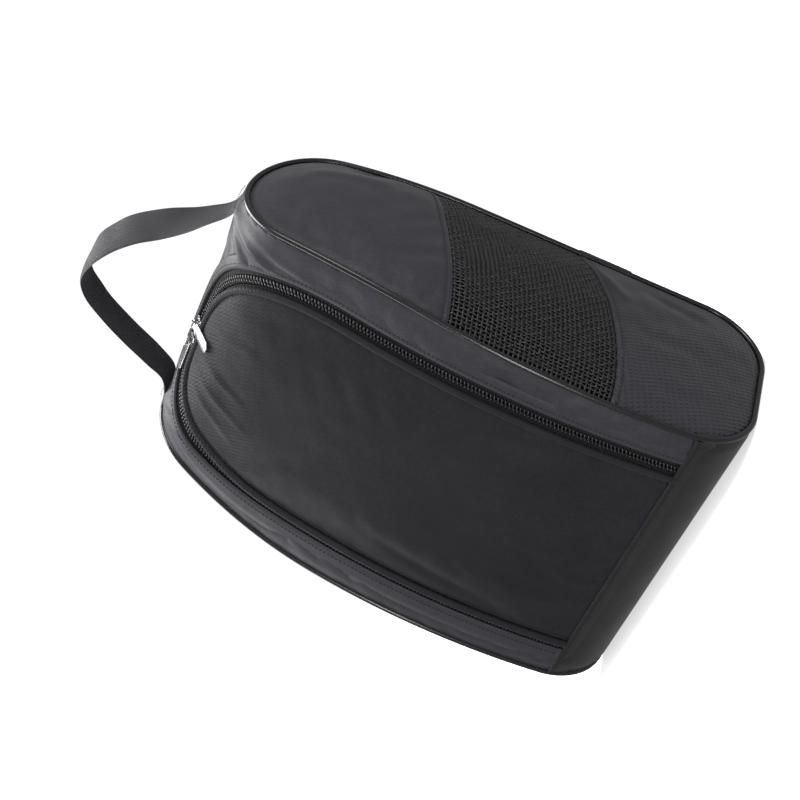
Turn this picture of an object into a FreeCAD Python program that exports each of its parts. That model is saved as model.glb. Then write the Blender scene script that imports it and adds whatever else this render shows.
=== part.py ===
import FreeCAD, Part
import math
import os

import Sketcher

# Golf shoe bag standing on its base. Millimetres, +Z up, the door faces -Y, +X is the viewer's right.
# The origin is on the floor, in the middle of the flat of the base.

V = FreeCAD.Vector

SIZES = {
    # side view of the bag: a flat base, a bowed front, a round top and a straight back
    "body_height": 350.0,
    "base_flat_half": 24.0,
    "front_corner_radius": 50.0,
    "front_bow_radius": 520.0,
    "top_radius": 53.0,
    "back_corner_radius": 45.0,
    # front view of the bag: straight sides that curve in towards the top
    "half_width": 114.5,
    "shoulder_start": 210.0,
    "shoulder_radius": 475.0,
    "end_crown": 9.0,
    # fabric layers, as depths below the outer surface
    "fabric_depth": 2.0,
    "tape_top_depth": 2.2,
    "tape_bottom_depth": 3.1,
    "teeth_top_depth": 0.8,
    "teeth_bottom_depth": 3.0,
    "binding_top_depth": 3.4,
    "binding_bottom_depth": 4.4,
    "binding_width": 12.0,
    "welt_height": 0.8,
    # seams
    "seam_gap": 0.3,
    "sewn_gap": 0.1,
    "base_seam": 35.0,
    "back_seam": 296.0,
    "piping_radius": 2.0,
    "piping_depth": 2.0,
    "piping_clearance": 2.2,
    # zip line, drawn on a plane that is tilted to face the door
    "door_tilt": 23.0,
    "leg_spread": 87.0,
    "leg_foot": -70.0,
    "arch_shift": -13.0,
    "arch_flat_half": 14.0,
    "arch_top": 112.0,
    "right_shoulder_big": 84.0,
    "right_shoulder_small": 77.0,
    "left_shoulder_big": 84.0,
    "left_shoulder_small": 50.0,
    # distances from the zip line
    "teeth_gap": 0.2,
    "teeth_width": 3.0,
    "tape_start": 3.2,
    "tape_width": 12.0,
    "lip_width": 7.0,
    "welt_start": 5.4,
    "welt_end": 8.4,
    "door_edge": 8.6,
    # mesh vent band in the end panels
    "mesh_upper_back": 251.0,
    "mesh_upper_front": 199.0,
    "mesh_upper_sag": 4.0,
    "mesh_lower_back": 148.0,
    "mesh_lower_front": 91.0,
    "mesh_lower_sag": 14.0,
    # handle
    "webbing_width": 25.0,
    "webbing_thickness": 1.8,
    "handle_pivot": 364.6,
    "handle_foot": 72.0,
    "handle_foot_rise": 1.0,
    "handle_top_right": 14.0,
    "handle_top_right_height": 421.0,
    "handle_top_left": -34.0,
    "handle_top_left_height": 433.0,
    "handle_right_bend": 38.0,
    "handle_left_bend": 14.0,
    "anchor_inner": 66.0,
    "anchor_outer": 90.0,
    # back strap
    "strap_bottom": 101.0,
    "strap_top": 139.0,
    "strap_stand_off": 2.2,
    "strap_thickness": 1.8,
    "strap_half_length": 112.0,
    "strap_end_length": 9.0,
    # base board
    "board_thickness": 3.0,
    "board_half_depth": 26.0,
    "board_inset": 15.0,
    # zip sliders and their pulls, in the slider's own frame
    "slider_shift": 7.5,
    "slider_length": 10.0,
    "slider_half_width": 4.4,
    "plate_top": 0.6,
    "plate_bottom": -0.6,
    "keel_top": -3.6,
    "keel_bottom": -4.8,
    "keel_overlap": 0.4,
    "post_length": 3.0,
    "post_half_width": 0.5,
    "post_way_half_width": 0.9,
    "post_way_half_length": 20.0,
    "bridge_half_length": 3.9,
    "bridge_post": 1.2,
    "bridge_half_width": 0.8,
    "bridge_axis": 3.4,
    "bridge_radius": 0.8,
    "flat_eye_axis": 1.7,
    "pull_length": 24.0,
    "pull_width": 8.5,
    "pull_thickness": 1.4,
    "pull_eye_end": 4.8,
    "pull_eye_half_width": 1.4,
    "curl_inner": 1.1,
    "curl_outer": 1.9,
    "curl_half_length": 2.2,
    "hanging_pull_drop": 14.0,
}

FAR = 260.0
PARTS_FOLDER = "parts"

doc = FreeCAD.newDocument("GolfShoeBag")
sheet = doc.addObject("Spreadsheet::Sheet", "sizes")
for row, (alias, value) in enumerate(SIZES.items(), start=1):
    sheet.set(f"A{row}", alias)
    sheet.set(f"B{row}", str(value))
    sheet.setAlias(f"B{row}", alias)
doc.recompute()

nodes = {}


def size(alias):
    return float(sheet.get(alias))


def bind(target, prop, expression):
    """Bind a property to the sheet; every word of the expression that is an alias is looked up there."""
    words = []
    for word in expression.split():
        words.append(f"sizes.{word}" if word in SIZES else word)
    target.setExpression(prop, " ".join(words))


def keep(target, label):
    """This object is a finished sub-part, and its label names its file."""
    target.Label = label
    nodes[label] = target
    return target


# ---------------------------------------------------------------- sketches

SIDE_VIEW = FreeCAD.Placement(V(0, 0, 0), FreeCAD.Rotation(V(1, 1, 1), 120))
FRONT_VIEW = FreeCAD.Placement(V(0, 0, 0), FreeCAD.Rotation(V(1, 0, 0), 90))


def new_sketch(name, placement):
    sketch = doc.addObject("Sketcher::SketchObject", name)
    sketch.Placement = placement
    return sketch


def line(a, b):
    return Part.LineSegment(V(a[0], a[1], 0), V(b[0], b[1], 0))


def arc(centre, radius, start, end):
    """Counter-clockwise arc between two points that lie on its circle."""
    first = math.atan2(start[1] - centre[1], start[0] - centre[0])
    last = math.atan2(end[1] - centre[1], end[0] - centre[0])
    circle = Part.Circle(V(centre[0], centre[1], 0), V(0, 0, 1), radius)
    return Part.ArcOfCircle(circle, first, last if last > first else last + 2 * math.pi)


def constrain(sketch, kind, *args, to=None):
    """Add a constraint, and bind its value to the sheet when an expression is given."""
    index = sketch.addConstraint(Sketcher.Constraint(kind, *args))
    if to:
        bind(sketch, f"Constraints[{index}]", to)


def join_smoothly(sketch, first, first_end, second, second_end):
    constrain(sketch, "Tangent", first, first_end, second, second_end)


def unit(vector):
    length = math.hypot(vector[0], vector[1])
    return (vector[0] / length, vector[1] / length)


def along(point, direction, distance):
    return (point[0] + direction[0] * distance, point[1] + direction[1] * distance)


def inner_circle_centre(c1, d1, c2, d2):
    """The point at distance d1 from c1 and d2 from c2, on the right of the way from c1 to c2."""
    gap = math.hypot(c2[0] - c1[0], c2[1] - c1[1])
    way = unit((c2[0] - c1[0], c2[1] - c1[1]))
    near = (d1 * d1 - d2 * d2 + gap * gap) / (2 * gap)
    aside = math.sqrt(d1 * d1 - near * near)
    return along(along(c1, way, near), (way[1], -way[0]), aside)


def side_profile():
    """Centres and joints of the side outline, in the side view (y, z)."""
    flat = size("base_flat_half")
    r_front, r_bow = size("front_corner_radius"), size("front_bow_radius")
    r_top, r_back = size("top_radius"), size("back_corner_radius")
    front, top = (-flat, r_front), (0.0, size("body_height") - r_top)
    back = (flat, r_back)
    bow = inner_circle_centre(front, r_bow - r_front, top, r_bow - r_top)
    low = along(front, unit((front[0] - bow[0], front[1] - bow[1])), r_front)
    high = along(top, unit((top[0] - bow[0], top[1] - bow[1])), r_top)
    gap = math.hypot(back[0] - top[0], back[1] - top[1])
    heading = math.atan2(back[1] - top[1], back[0] - top[0]) + math.acos((r_top - r_back) / gap)
    normal = (math.cos(heading), math.sin(heading))
    return {
        "front": front,
        "top": top,
        "back": back,
        "bow": bow,
        "low": low,
        "high": high,
        "shoulder": along(top, normal, r_top),
        "heel": along(back, normal, r_back),
        "flat": flat,
    }


def make_side_outline():
    """Base, back corner, back, round top, bowed front and front corner, one tangent chain."""
    p = side_profile()
    sketch = new_sketch("side_outline", SIDE_VIEW)
    toe, rear = (-p["flat"], 0), (p["flat"], 0)
    sketch.addGeometry(
        [
            line(toe, rear),
            arc(p["back"], size("back_corner_radius"), rear, p["heel"]),
            line(p["heel"], p["shoulder"]),
            arc(p["top"], size("top_radius"), p["shoulder"], p["high"]),
            arc(p["bow"], size("front_bow_radius"), p["high"], p["low"]),
            arc(p["front"], size("front_corner_radius"), p["low"], toe),
        ],
        False,
    )
    constrain(sketch, "PointOnObject", 0, 1, -1)
    constrain(sketch, "Horizontal", 0)
    constrain(sketch, "DistanceX", 0, 1, -1, 1, p["flat"], to="base_flat_half")
    constrain(sketch, "DistanceX", -1, 1, 0, 2, p["flat"], to="base_flat_half")
    for first in range(5):
        join_smoothly(sketch, first, 2, first + 1, 1)
    join_smoothly(sketch, 5, 2, 0, 1)
    radii = {
        1: "back_corner_radius",
        3: "top_radius",
        4: "front_bow_radius",
        5: "front_corner_radius",
    }
    for curve, alias in radii.items():
        constrain(sketch, "Radius", curve, size(alias), to=alias)
    constrain(sketch, "PointOnObject", 3, 3, -2)
    middle = size("body_height") - size("top_radius")
    constrain(sketch, "DistanceY", -1, 1, 3, 3, middle, to="body_height - top_radius")
    return sketch


def end_plane(z):
    """Half width of the bag between its piping cords at height z."""
    above = max(0.0, z - size("shoulder_start"))
    radius = size("shoulder_radius")
    return size("half_width") - (radius - math.sqrt(radius * radius - above * above))


def make_front_outline():
    """Straight sides that curve in above the shoulder. It runs past the bag below and above."""
    half, start = size("half_width"), size("shoulder_start")
    radius = size("shoulder_radius")
    bottom, top = -20.0, size("body_height") + 20.0
    reach = end_plane(top)
    sketch = new_sketch("front_outline", FRONT_VIEW)
    sketch.addGeometry(
        [
            line((-half, bottom), (half, bottom)),
            line((half, bottom), (half, start)),
            arc((half - radius, start), radius, (half, start), (reach, top)),
            line((reach, top), (-reach, top)),
            arc((radius - half, start), radius, (-reach, top), (-half, start)),
            line((-half, start), (-half, bottom)),
        ],
        False,
    )
    for first, second in ((0, 1), (2, 3), (3, 4), (5, 0)):
        constrain(sketch, "Coincident", first, 2, second, 1)
    join_smoothly(sketch, 1, 2, 2, 1)
    join_smoothly(sketch, 4, 2, 5, 1)
    constrain(sketch, "Horizontal", 0)
    constrain(sketch, "Horizontal", 3)
    constrain(sketch, "Vertical", 1)
    constrain(sketch, "Vertical", 5)
    constrain(sketch, "DistanceX", -1, 1, 0, 2, half, to="half_width")
    constrain(sketch, "DistanceX", 0, 1, -1, 1, half, to="half_width")
    constrain(sketch, "DistanceY", 0, 1, -1, 1, -bottom)
    constrain(sketch, "DistanceY", -1, 1, 1, 2, start, to="shoulder_start")
    constrain(sketch, "DistanceY", -1, 1, 5, 1, start, to="shoulder_start")
    constrain(sketch, "Radius", 2, radius, to="shoulder_radius")
    constrain(sketch, "Radius", 4, radius, to="shoulder_radius")
    constrain(sketch, "DistanceY", -1, 1, 3, 1, top, to="body_height + 20")
    return sketch


def shoulder_joints(foot, flat_end, big, small):
    """Centres and joints of one side of the zip line, drawn for the side where x is positive.

    A small arc leaves the flat top, a big one joins it half way round, and the leg is tangent to it.
    """
    top = size("arch_top")
    small_centre = (flat_end, top - small)
    half_way = (math.cos(math.pi / 4), math.sin(math.pi / 4))
    big_centre = along(small_centre, half_way, small - big)
    joint = along(small_centre, half_way, small)
    arm = (foot[0] - big_centre[0], foot[1] - big_centre[1])
    reach = math.hypot(arm[0], arm[1])
    heading = math.atan2(arm[1], arm[0]) + math.acos(big / reach)
    leg_top = along(big_centre, (math.cos(heading), math.sin(heading)), big)
    return small_centre, big_centre, joint, leg_top


def make_zip_line():
    """The closed D of the door: two legs, a four-arc arch with a short flat top, and a straight foot."""
    spread, bottom, top = size("leg_spread"), size("leg_foot"), size("arch_top")
    shift, flat = size("arch_shift"), size("arch_flat_half")
    right_end, left_end = shift + flat, shift - flat
    rs, rb = size("right_shoulder_small"), size("right_shoulder_big")
    ls, lb = size("left_shoulder_small"), size("left_shoulder_big")
    rsc, rbc, rj, rt = shoulder_joints((spread, bottom), right_end, rb, rs)
    mirrored = shoulder_joints((spread, bottom), -left_end, lb, ls)
    lsc, lbc, lj, lt = [(-x, y) for x, y in mirrored]
    tilted = FreeCAD.Rotation(V(1, 0, 0), size("door_tilt"))
    sketch = new_sketch("zip_line", FreeCAD.Placement(V(0, 0, 0), tilted))
    sketch.addGeometry(
        [
            line((-spread, bottom), (spread, bottom)),
            line((spread, bottom), rt),
            arc(rbc, rb, rt, rj),
            arc(rsc, rs, rj, (right_end, top)),
            line((right_end, top), (left_end, top)),
            arc(lsc, ls, (left_end, top), lj),
            arc(lbc, lb, lj, lt),
            line(lt, (-spread, bottom)),
        ],
        False,
    )
    constrain(sketch, "Coincident", 0, 2, 1, 1)
    constrain(sketch, "Coincident", 7, 2, 0, 1)
    for first in range(1, 7):
        join_smoothly(sketch, first, 2, first + 1, 1)
    constrain(sketch, "Horizontal", 0)
    constrain(sketch, "Horizontal", 4)
    constrain(sketch, "DistanceX", -1, 1, 0, 2, spread, to="leg_spread")
    constrain(sketch, "DistanceX", 0, 1, -1, 1, spread, to="leg_spread")
    constrain(sketch, "DistanceY", 0, 1, -1, 1, -bottom, to="0 - leg_foot")
    constrain(sketch, "DistanceY", -1, 1, 4, 1, top, to="arch_top")
    constrain(sketch, "DistanceX", -1, 1, 4, 1, right_end, to="arch_shift + arch_flat_half")
    constrain(sketch, "DistanceX", 4, 2, 4, 1, 2 * flat, to="2 * arch_flat_half")
    radii = {
        2: "right_shoulder_big",
        3: "right_shoulder_small",
        5: "left_shoulder_small",
        6: "left_shoulder_big",
    }
    for curve, alias in radii.items():
        constrain(sketch, "Radius", curve, size(alias), to=alias)
    return sketch


# ---------------------------------------------------------------- solids from sketches

def filled(sketch):
    """The area inside a closed sketch."""
    made = doc.addObject("Part::Face", sketch.Name + "_area")
    made.Sources = [sketch]
    made.FaceMakerClass = "Part::FaceMakerBullseye"
    return made


side_outline = filled(make_side_outline())
front_outline = filled(make_front_outline())
zip_line = filled(make_zip_line())
doc.recompute()


def offset(source, name, expression):
    """The outline moved outwards by the expression, or inwards where it is negative."""
    made = doc.addObject("Part::Offset2D", name)
    made.Source = source
    made.Mode = "Skin"
    made.Join = "Intersection"
    bind(made, "Value", expression)
    return made


def extrusion(source, name, direction, forward, backward=0.0):
    made = doc.addObject("Part::Extrusion", name)
    made.Base = source
    made.DirMode = "Custom"
    made.Dir = direction
    made.LengthFwd = forward
    made.LengthRev = backward
    made.Solid = True
    return made


def cut(base, tool, name):
    made = doc.addObject("Part::Cut", name)
    made.Base = base
    made.Tool = tool
    return made


def common(name, *shapes):
    made = doc.addObject("Part::MultiCommon", name)
    made.Shapes = list(shapes)
    return made


def zone(name, low, high):
    """A box between two corners. A corner coordinate may be a number or an expression."""
    made = doc.addObject("Part::Box", name)
    for index, (axis, length) in enumerate((("x", "Length"), ("y", "Width"), ("z", "Height"))):
        a, b = low[index], high[index]
        bind(made, f"Placement.Base.{axis}", f"{a} + 0")
        bind(made, length, f"( {b} ) - ( {a} )")
    return made


side_solids = {}


def side_solid(depth):
    """The bag's side outline, moved in by a depth and run the whole way across."""
    if depth not in side_solids:
        name = "side_" + depth.replace(" ", "").replace("-", "less_").replace("0", "outer")
        outline = side_outline if depth == "0" else offset(side_outline, name + "_line", f"0 - ( {depth} )")
        side_solids[depth] = extrusion(outline, name, V(1, 0, 0), FAR / 2, FAR / 2)
    return side_solids[depth]


def layer(name, top, bottom):
    """The skin of the bag between two depths."""
    return cut(side_solid(top), side_solid(bottom), name)


between_cords = extrusion(
    offset(front_outline, "between_cords_line", "0 - piping_clearance"),
    "between_cords",
    V(0, 1, 0),
    FAR / 2,
    FAR / 2,
)

DOOR_WAY = V(0, -math.sin(math.radians(size("door_tilt"))), math.cos(math.radians(size("door_tilt"))))


def door_solid(name, expression):
    """The zip line moved outwards by the expression, and run through the door side of the bag."""
    outline = offset(zip_line, name + "_line", expression)
    return extrusion(outline, name, DOOR_WAY, 2 * FAR)


def door_band(name, inner, outer):
    """The band between two distances from the zip line; a negative one is on the door."""
    return cut(door_solid(name + "_outer", outer), door_solid(name + "_inner", inner), name)


door_zone = zone("door_zone", ("-130", "-120", "base_seam + seam_gap"), ("130", "20", "400"))
strip_zone = zone("strip_zone", ("-130", "-120", "base_seam + seam_gap"), ("130", "120", "400"))
base_zone = zone("base_zone", ("-130", "-120", "-10"), ("130", "120", "base_seam"))
back_zone = zone("back_zone", ("-130", "20", "base_seam + seam_gap"), ("130", "120", "back_seam"))
back_clearance = zone("back_clearance", ("-130", "20", "0"), ("130", "120", "back_seam + seam_gap"))

fabric = layer("fabric_layer", "0", "fabric_depth")
tape_layer = layer("tape_layer", "tape_top_depth", "tape_bottom_depth")
teeth_layer = layer("teeth_layer", "teeth_top_depth", "teeth_bottom_depth")
welt_layer = layer("welt_layer", "0 - welt_height", "fabric_depth")


def make_strip_panels():
    """Base, back and front gusset: the strip that runs round the bag between the two cords."""
    keep(common("base_panel_body", fabric, between_cords, base_zone), "base_panel")
    keep(common("back_panel_body", fabric, between_cords, back_zone), "back_panel")
    upper = common("upper_strip", fabric, between_cords, strip_zone)
    gusset = cut(upper, back_clearance, "gusset_strip")
    opening = common("door_opening", door_solid("door_opening_prism", "lip_width"), door_zone)
    keep(cut(gusset, opening, "front_gusset_body"), "front_gusset")


def make_post_way():
    """The space between the tooth rows at the top of the arch, where the sliders' posts run."""
    way = zone(
        "post_way",
        ("arch_shift - post_way_half_length", "0", "0"),
        ("arch_shift + post_way_half_length", "2 * post_way_half_width", "400"),
    )
    tilted = FreeCAD.Rotation(V(1, 0, 0), size("door_tilt"))
    aside = size("arch_top") - size("post_way_half_width")
    for axis in "xyz":
        way.setExpression(f"Placement.Base.{axis}", None)
    start = size("arch_shift") - size("post_way_half_length")
    way.Placement = FreeCAD.Placement(V(start, 0, 0) + tilted.multVec(V(0, aside, 0)), tilted)
    return way


def make_door():
    """The door panel, its corded welt, both zip tapes and both tooth rows."""
    post_way = make_post_way()
    panel_area = door_solid("door_area", "0 - door_edge")
    keep(common("door_panel_body", fabric, panel_area, door_zone), "door_panel")
    bands = {
        "door_welt": (welt_layer, "0 - welt_end", "0 - welt_start"),
        "zip_tape_door": (tape_layer, "0 - tape_start - tape_width", "0 - tape_start"),
        "zip_teeth_door": (teeth_layer, "0 - teeth_width", "0 - teeth_gap"),
        "zip_teeth_bag": (teeth_layer, "teeth_gap", "teeth_width"),
        "zip_tape_bag": (tape_layer, "tape_start", "tape_start + tape_width"),
    }
    for label, (skin, inner, outer) in bands.items():
        band = door_band(label + "_band", inner, outer)
        strip = common(label + "_body", skin, band, door_zone)
        if label.startswith("zip_teeth"):
            strip = cut(strip, post_way, label + "_parted")
        keep(strip, label)


make_strip_panels()
make_door()
doc.recompute()


# ---------------------------------------------------------------- end panels and piping

def end_crown(y, z):
    """How far the stuffed end panel stands out past the piping at a point of the side view."""
    p = side_profile()
    height = size("body_height")
    if not 4.0 < z < height - 4.0:
        return 0.0
    if z < p["low"][1]:
        front = p["front"][0] - chord(size("front_corner_radius"), z - p["front"][1])
    elif z < p["high"][1]:
        front = p["bow"][0] - chord(size("front_bow_radius"), z - p["bow"][1])
    else:
        front = -chord(size("top_radius"), z - p["top"][1])
    if z < p["heel"][1]:
        back = p["back"][0] + chord(size("back_corner_radius"), z - p["back"][1])
    elif z < p["shoulder"][1]:
        share = (z - p["heel"][1]) / (p["shoulder"][1] - p["heel"][1])
        back = p["heel"][0] + share * (p["shoulder"][0] - p["heel"][0])
    else:
        back = chord(size("top_radius"), z - p["top"][1])
    across = (2 * y - front - back) / (back - front)
    up = 2 * z / height - 1
    swell = (1 - across * across) * (1 - up ** 4)
    return size("end_crown") * 0.5 * (swell + math.sqrt(swell * swell + 0.02))


def chord(radius, off_centre):
    return math.sqrt(max(0.0, radius * radius - off_centre * off_centre))


def crowned_slab(name):
    """A sheet of fabric, fabric_depth thick, that follows the crowned right end of the bag."""
    rows = []
    for i in range(15):
        y = -98.0 + 13.0 * i
        rows.append([V(end_plane(z) + end_crown(y, z), y, z) for z in [-12.0 + 17.0 * j for j in range(23)]])
    surface = Part.BSplineSurface()
    surface.interpolate(rows)
    made = doc.addObject("Part::Feature", name)
    made.Shape = surface.toShape().extrude(V(-size("fabric_depth"), 0, 0))
    return made


def band_zone(name, back_z, front_z, sag, below):
    """Everything in the side view below (or above) a sagging seam from the back to the front."""
    back, front = (75.0, size(back_z)), (-90.0, size(front_z))
    middle = (0.5 * (back[0] + front[0]), 0.5 * (back[1] + front[1]) - size(sag))
    limit = -20.0 if below else 380.0
    seam = Part.Arc(V(0, *front), V(0, *middle), V(0, *back)).toShape()
    sides = Part.makePolygon([V(0, *back), V(0, back[0], limit), V(0, front[0], limit), V(0, *front)])
    face = Part.Face(Part.Wire([seam] + sides.Edges))
    made = doc.addObject("Part::Feature", name)
    made.Shape = face.extrude(V(FAR, 0, 0))
    return made


def mirrored(source, name):
    made = doc.addObject("Part::Mirroring", name)
    made.Source = source
    made.Normal = V(1, 0, 0)
    made.Base = V(0, 0, 0)
    return made


def make_end_panels():
    inside_cord = side_solid("piping_depth + piping_clearance")
    panel = common("end_panel", crowned_slab("end_slab"), inside_cord)
    over_lower = band_zone("under_lower_seam", "mesh_lower_back", "mesh_lower_front", "mesh_lower_sag", True)
    over_upper = band_zone("over_upper_seam", "mesh_upper_back", "mesh_upper_front", "mesh_upper_sag", False)
    rest = cut(panel, over_lower, "end_above_lower")
    right = {
        "end_panel_lower": common("end_lower_body", panel, over_lower),
        "end_mesh_vent": cut(rest, over_upper, "end_mesh_body"),
        "end_panel_upper": common("end_upper_body", rest, over_upper),
    }
    for label, body in right.items():
        keep(body, label + "_right")
        keep(mirrored(body, label + "_mirror"), label + "_left")


def swept_cord(edges):
    """A round cord along a smooth chain of edges."""
    path = Part.Wire(edges)
    start = path.OrderedEdges[0]
    ring = Part.makeCircle(
        size("piping_radius"), start.valueAt(start.FirstParameter), start.tangentAt(start.FirstParameter)
    )
    return path.makePipeShell([Part.Wire(ring)], True, False)


def make_piping():
    """A cord along the rim where the strip meets the right end, sunk by its radius, and its mirror image."""
    envelope = doc.getObject("envelope").Shape
    beyond = 0.8 * size("half_width")
    ends = [f for f in envelope.Faces if f.CenterOfMass.x > beyond and abs(f.normalAt(0.5, 0.5).x) > 0.5]
    rim = [e for f in ends for e in f.Edges]
    single = [e for e in rim if sum(1 for o in rim if o.isSame(e)) == 1]
    rounds = Part.Wire(Part.__sortEdges__(single)).OrderedEdges
    half = len(rounds) // 2
    cord = doc.addObject("Part::Feature", "piping_cord")
    cord.Shape = swept_cord(rounds[:half]).fuse(swept_cord(rounds[half:]))
    keep(cord, "piping_right")
    keep(mirrored(cord, "piping_mirror"), "piping_left")


def make_seam_bindings():
    """A tape round each end, inside, over the raw edges of the seam."""
    inner_line = offset(front_outline, "binding_line", "0 - piping_clearance - binding_width")
    inner = extrusion(inner_line, "between_bindings", V(0, 1, 0), FAR / 2, FAR / 2)
    rims = cut(between_cords, inner, "binding_rims")
    right_side = zone("right_side", ("0", "-120", "-10"), ("130", "120", "400"))
    skin = layer("binding_layer", "binding_top_depth", "binding_bottom_depth")
    binding = keep(common("binding_body", skin, rims, right_side), "seam_binding_right")
    keep(mirrored(binding, "binding_mirror"), "seam_binding_left")


def make_base_board():
    board = zone(
        "board",
        ("board_inset - half_width", "0 - board_half_depth", "fabric_depth + seam_gap"),
        ("half_width - board_inset", "board_half_depth", "fabric_depth + seam_gap + board_thickness"),
    )
    keep(board, "base_board")


# ---------------------------------------------------------------- handle and back strap

def fused(name, *shapes):
    made = doc.addObject("Part::MultiFuse", name)
    made.Shapes = list(shapes)
    return made


def corner_arc(a, corner, b, radius):
    """The two tangent points and the centre of an arc that rounds a corner."""
    to_a = unit((a[0] - corner[0], a[1] - corner[1]))
    to_b = unit((b[0] - corner[0], b[1] - corner[1]))
    half_turn = 0.5 * math.acos(to_a[0] * to_b[0] + to_a[1] * to_b[1])
    reach = radius / math.tan(half_turn)
    middle = unit((to_a[0] + to_b[0], to_a[1] + to_b[1]))
    centre = along(corner, middle, radius / math.sin(half_turn))
    return along(corner, to_a, reach), along(corner, to_b, reach), centre


def make_handle_path():
    """The middle line of the handle's webbing, from the right foot over the loop to the left foot."""
    foot_height = size("body_height") + size("handle_foot_rise")
    right_foot = (size("handle_foot"), foot_height)
    left_foot = (-size("handle_foot"), foot_height)
    right_top = (size("handle_top_right"), size("handle_top_right_height"))
    left_top = (size("handle_top_left"), size("handle_top_left_height"))
    r_right, r_left = size("handle_right_bend"), size("handle_left_bend")
    a, b, first_centre = corner_arc(right_foot, right_top, left_top, r_right)
    c, d, second_centre = corner_arc(right_top, left_top, left_foot, r_left)
    sketch = new_sketch("handle_path", FRONT_VIEW)
    sketch.addGeometry(
        [
            line(right_foot, a),
            arc(first_centre, r_right, a, b),
            line(b, c),
            arc(second_centre, r_left, c, d),
            line(d, left_foot),
        ],
        False,
    )
    for first in range(4):
        join_smoothly(sketch, first, 2, first + 1, 1)
    constrain(sketch, "Radius", 1, r_right, to="handle_right_bend")
    constrain(sketch, "Radius", 3, r_left, to="handle_left_bend")
    constrain(sketch, "DistanceX", -1, 1, 0, 1, right_foot[0], to="handle_foot")
    constrain(sketch, "DistanceX", 4, 2, -1, 1, right_foot[0], to="handle_foot")
    constrain(sketch, "DistanceY", -1, 1, 0, 1, foot_height, to="body_height + handle_foot_rise")
    constrain(sketch, "DistanceY", -1, 1, 4, 2, foot_height, to="body_height + handle_foot_rise")
    return sketch


def make_handle():
    """One strip of webbing. Its feet are rounded about the line that the loop swings about."""
    path = make_handle_path()
    doc.recompute()
    first_run = path.Geometry[0]
    foot, knee = (path.Placement.multVec(end) for end in (first_run.StartPoint, first_run.EndPoint))
    across_path = FreeCAD.Rotation(V(), V(0, 1, 0), knee - foot, "ZYX")
    section = new_sketch("webbing_section", FreeCAD.Placement(foot, across_path))
    half_wide, half_thick = size("webbing_width") / 2, size("webbing_thickness") / 2
    corners = [
        (-half_thick, -half_wide),
        (half_thick, -half_wide),
        (half_thick, half_wide),
        (-half_thick, half_wide),
    ]
    sides = [line(corners[i], corners[(i + 1) % 4]) for i in range(4)]
    section.addGeometry(sides, False)
    for i in range(4):
        constrain(section, "Coincident", i, 2, (i + 1) % 4, 1)
    constrain(section, "Horizontal", 0)
    constrain(section, "Horizontal", 2)
    constrain(section, "Vertical", 1)
    constrain(section, "Vertical", 3)
    constrain(section, "Symmetric", 0, 1, 2, 1, -1, 1)
    constrain(section, "DistanceX", 0, 1, 0, 2, 2 * half_thick, to="webbing_thickness")
    constrain(section, "DistanceY", 1, 1, 1, 2, 2 * half_wide, to="webbing_width")
    strip = doc.addObject("Part::Sweep", "webbing_strip")
    strip.Sections = [section]
    strip.Spine = (path, [f"Edge{i + 1}" for i in range(5)])
    strip.Solid = True
    strip.Frenet = False
    above = zone("above_pivot", ("-130", "-50", "handle_pivot"), ("130", "50", "handle_pivot + 150"))
    round_foot = doc.addObject("Part::Cylinder", "round_foot")
    bind(round_foot, "Radius", "webbing_width / 2")
    round_foot.Height = FAR
    round_foot.Placement = FreeCAD.Placement(V(-FAR / 2, 0, 0), FreeCAD.Rotation(V(0, 1, 0), 90))
    bind(round_foot, "Placement.Base.z", "handle_pivot + 0")
    keep(common("handle_body", strip, fused("handle_zone", above, round_foot)), "handle_webbing")


def make_handle_anchors():
    """The ends of the webbing, flat on the top of the bag and sewn in under the end seams."""
    tab = zone(
        "anchor_zone",
        ("anchor_inner", "0 - webbing_width / 2", "300"),
        ("anchor_outer", "webbing_width / 2", "400"),
    )
    skin = layer("anchor_layer", "0 - sewn_gap - webbing_thickness", "0 - sewn_gap")
    anchor = keep(common("anchor_body", skin, tab), "handle_anchor_right")
    keep(mirrored(anchor, "anchor_mirror"), "handle_anchor_left")


def make_back_strap():
    """A webbing strap that stands a little off the back, with its ends sewn down flat at the side seams."""
    ends, riser = "strap_half_length", "strap_half_length - strap_end_length"
    middle_low = (f"0 - ( {riser} )", "20", "strap_bottom")
    middle_zone = zone("strap_middle", middle_low, (riser, "120", "strap_top"))
    gap_zone = zone(
        "strap_gap_zone",
        (f"strap_thickness - ( {riser} )", "20", "strap_bottom - 1"),
        (f"{riser} - strap_thickness", "120", "strap_top + 1"),
    )
    end_zone = zone("strap_ends", (f"0 - {ends}", "20", "strap_bottom"), (ends, "120", "strap_top"))
    raised_layer = layer("strap_block", "0 - strap_stand_off - strap_thickness", "0 - sewn_gap")
    raised = common("strap_raised", raised_layer, middle_zone)
    gap = common("strap_gap", layer("strap_gap_layer", "0 - strap_stand_off", "0"), gap_zone)
    flat_layer = layer("strap_flat_layer", "0 - sewn_gap - strap_thickness", "0 - sewn_gap")
    both = fused("strap_whole", raised, common("strap_flat", flat_layer, end_zone))
    keep(cut(both, gap, "strap_body"), "back_strap")


# ---------------------------------------------------------------- zip sliders and pulls

def arch_lean():
    """Angle of the bag's top surface at the flat of the arch, about X."""
    tilt = math.radians(size("door_tilt"))
    middle = size("body_height") - size("top_radius")
    return tilt + math.asin((middle * math.sin(tilt) - size("arch_top")) / size("top_radius"))


def slider_frame(side):
    """x runs along the zip, y away from the door and z out of the bag, from the outer surface."""
    lean = arch_lean()
    radius = size("top_radius")
    middle = size("body_height") - radius
    x = size("arch_shift") + side * size("slider_shift")
    return FreeCAD.Placement(
        V(x, -radius * math.sin(lean), middle + radius * math.cos(lean)),
        FreeCAD.Rotation(V(1, 0, 0), math.degrees(lean)),
    )


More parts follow.
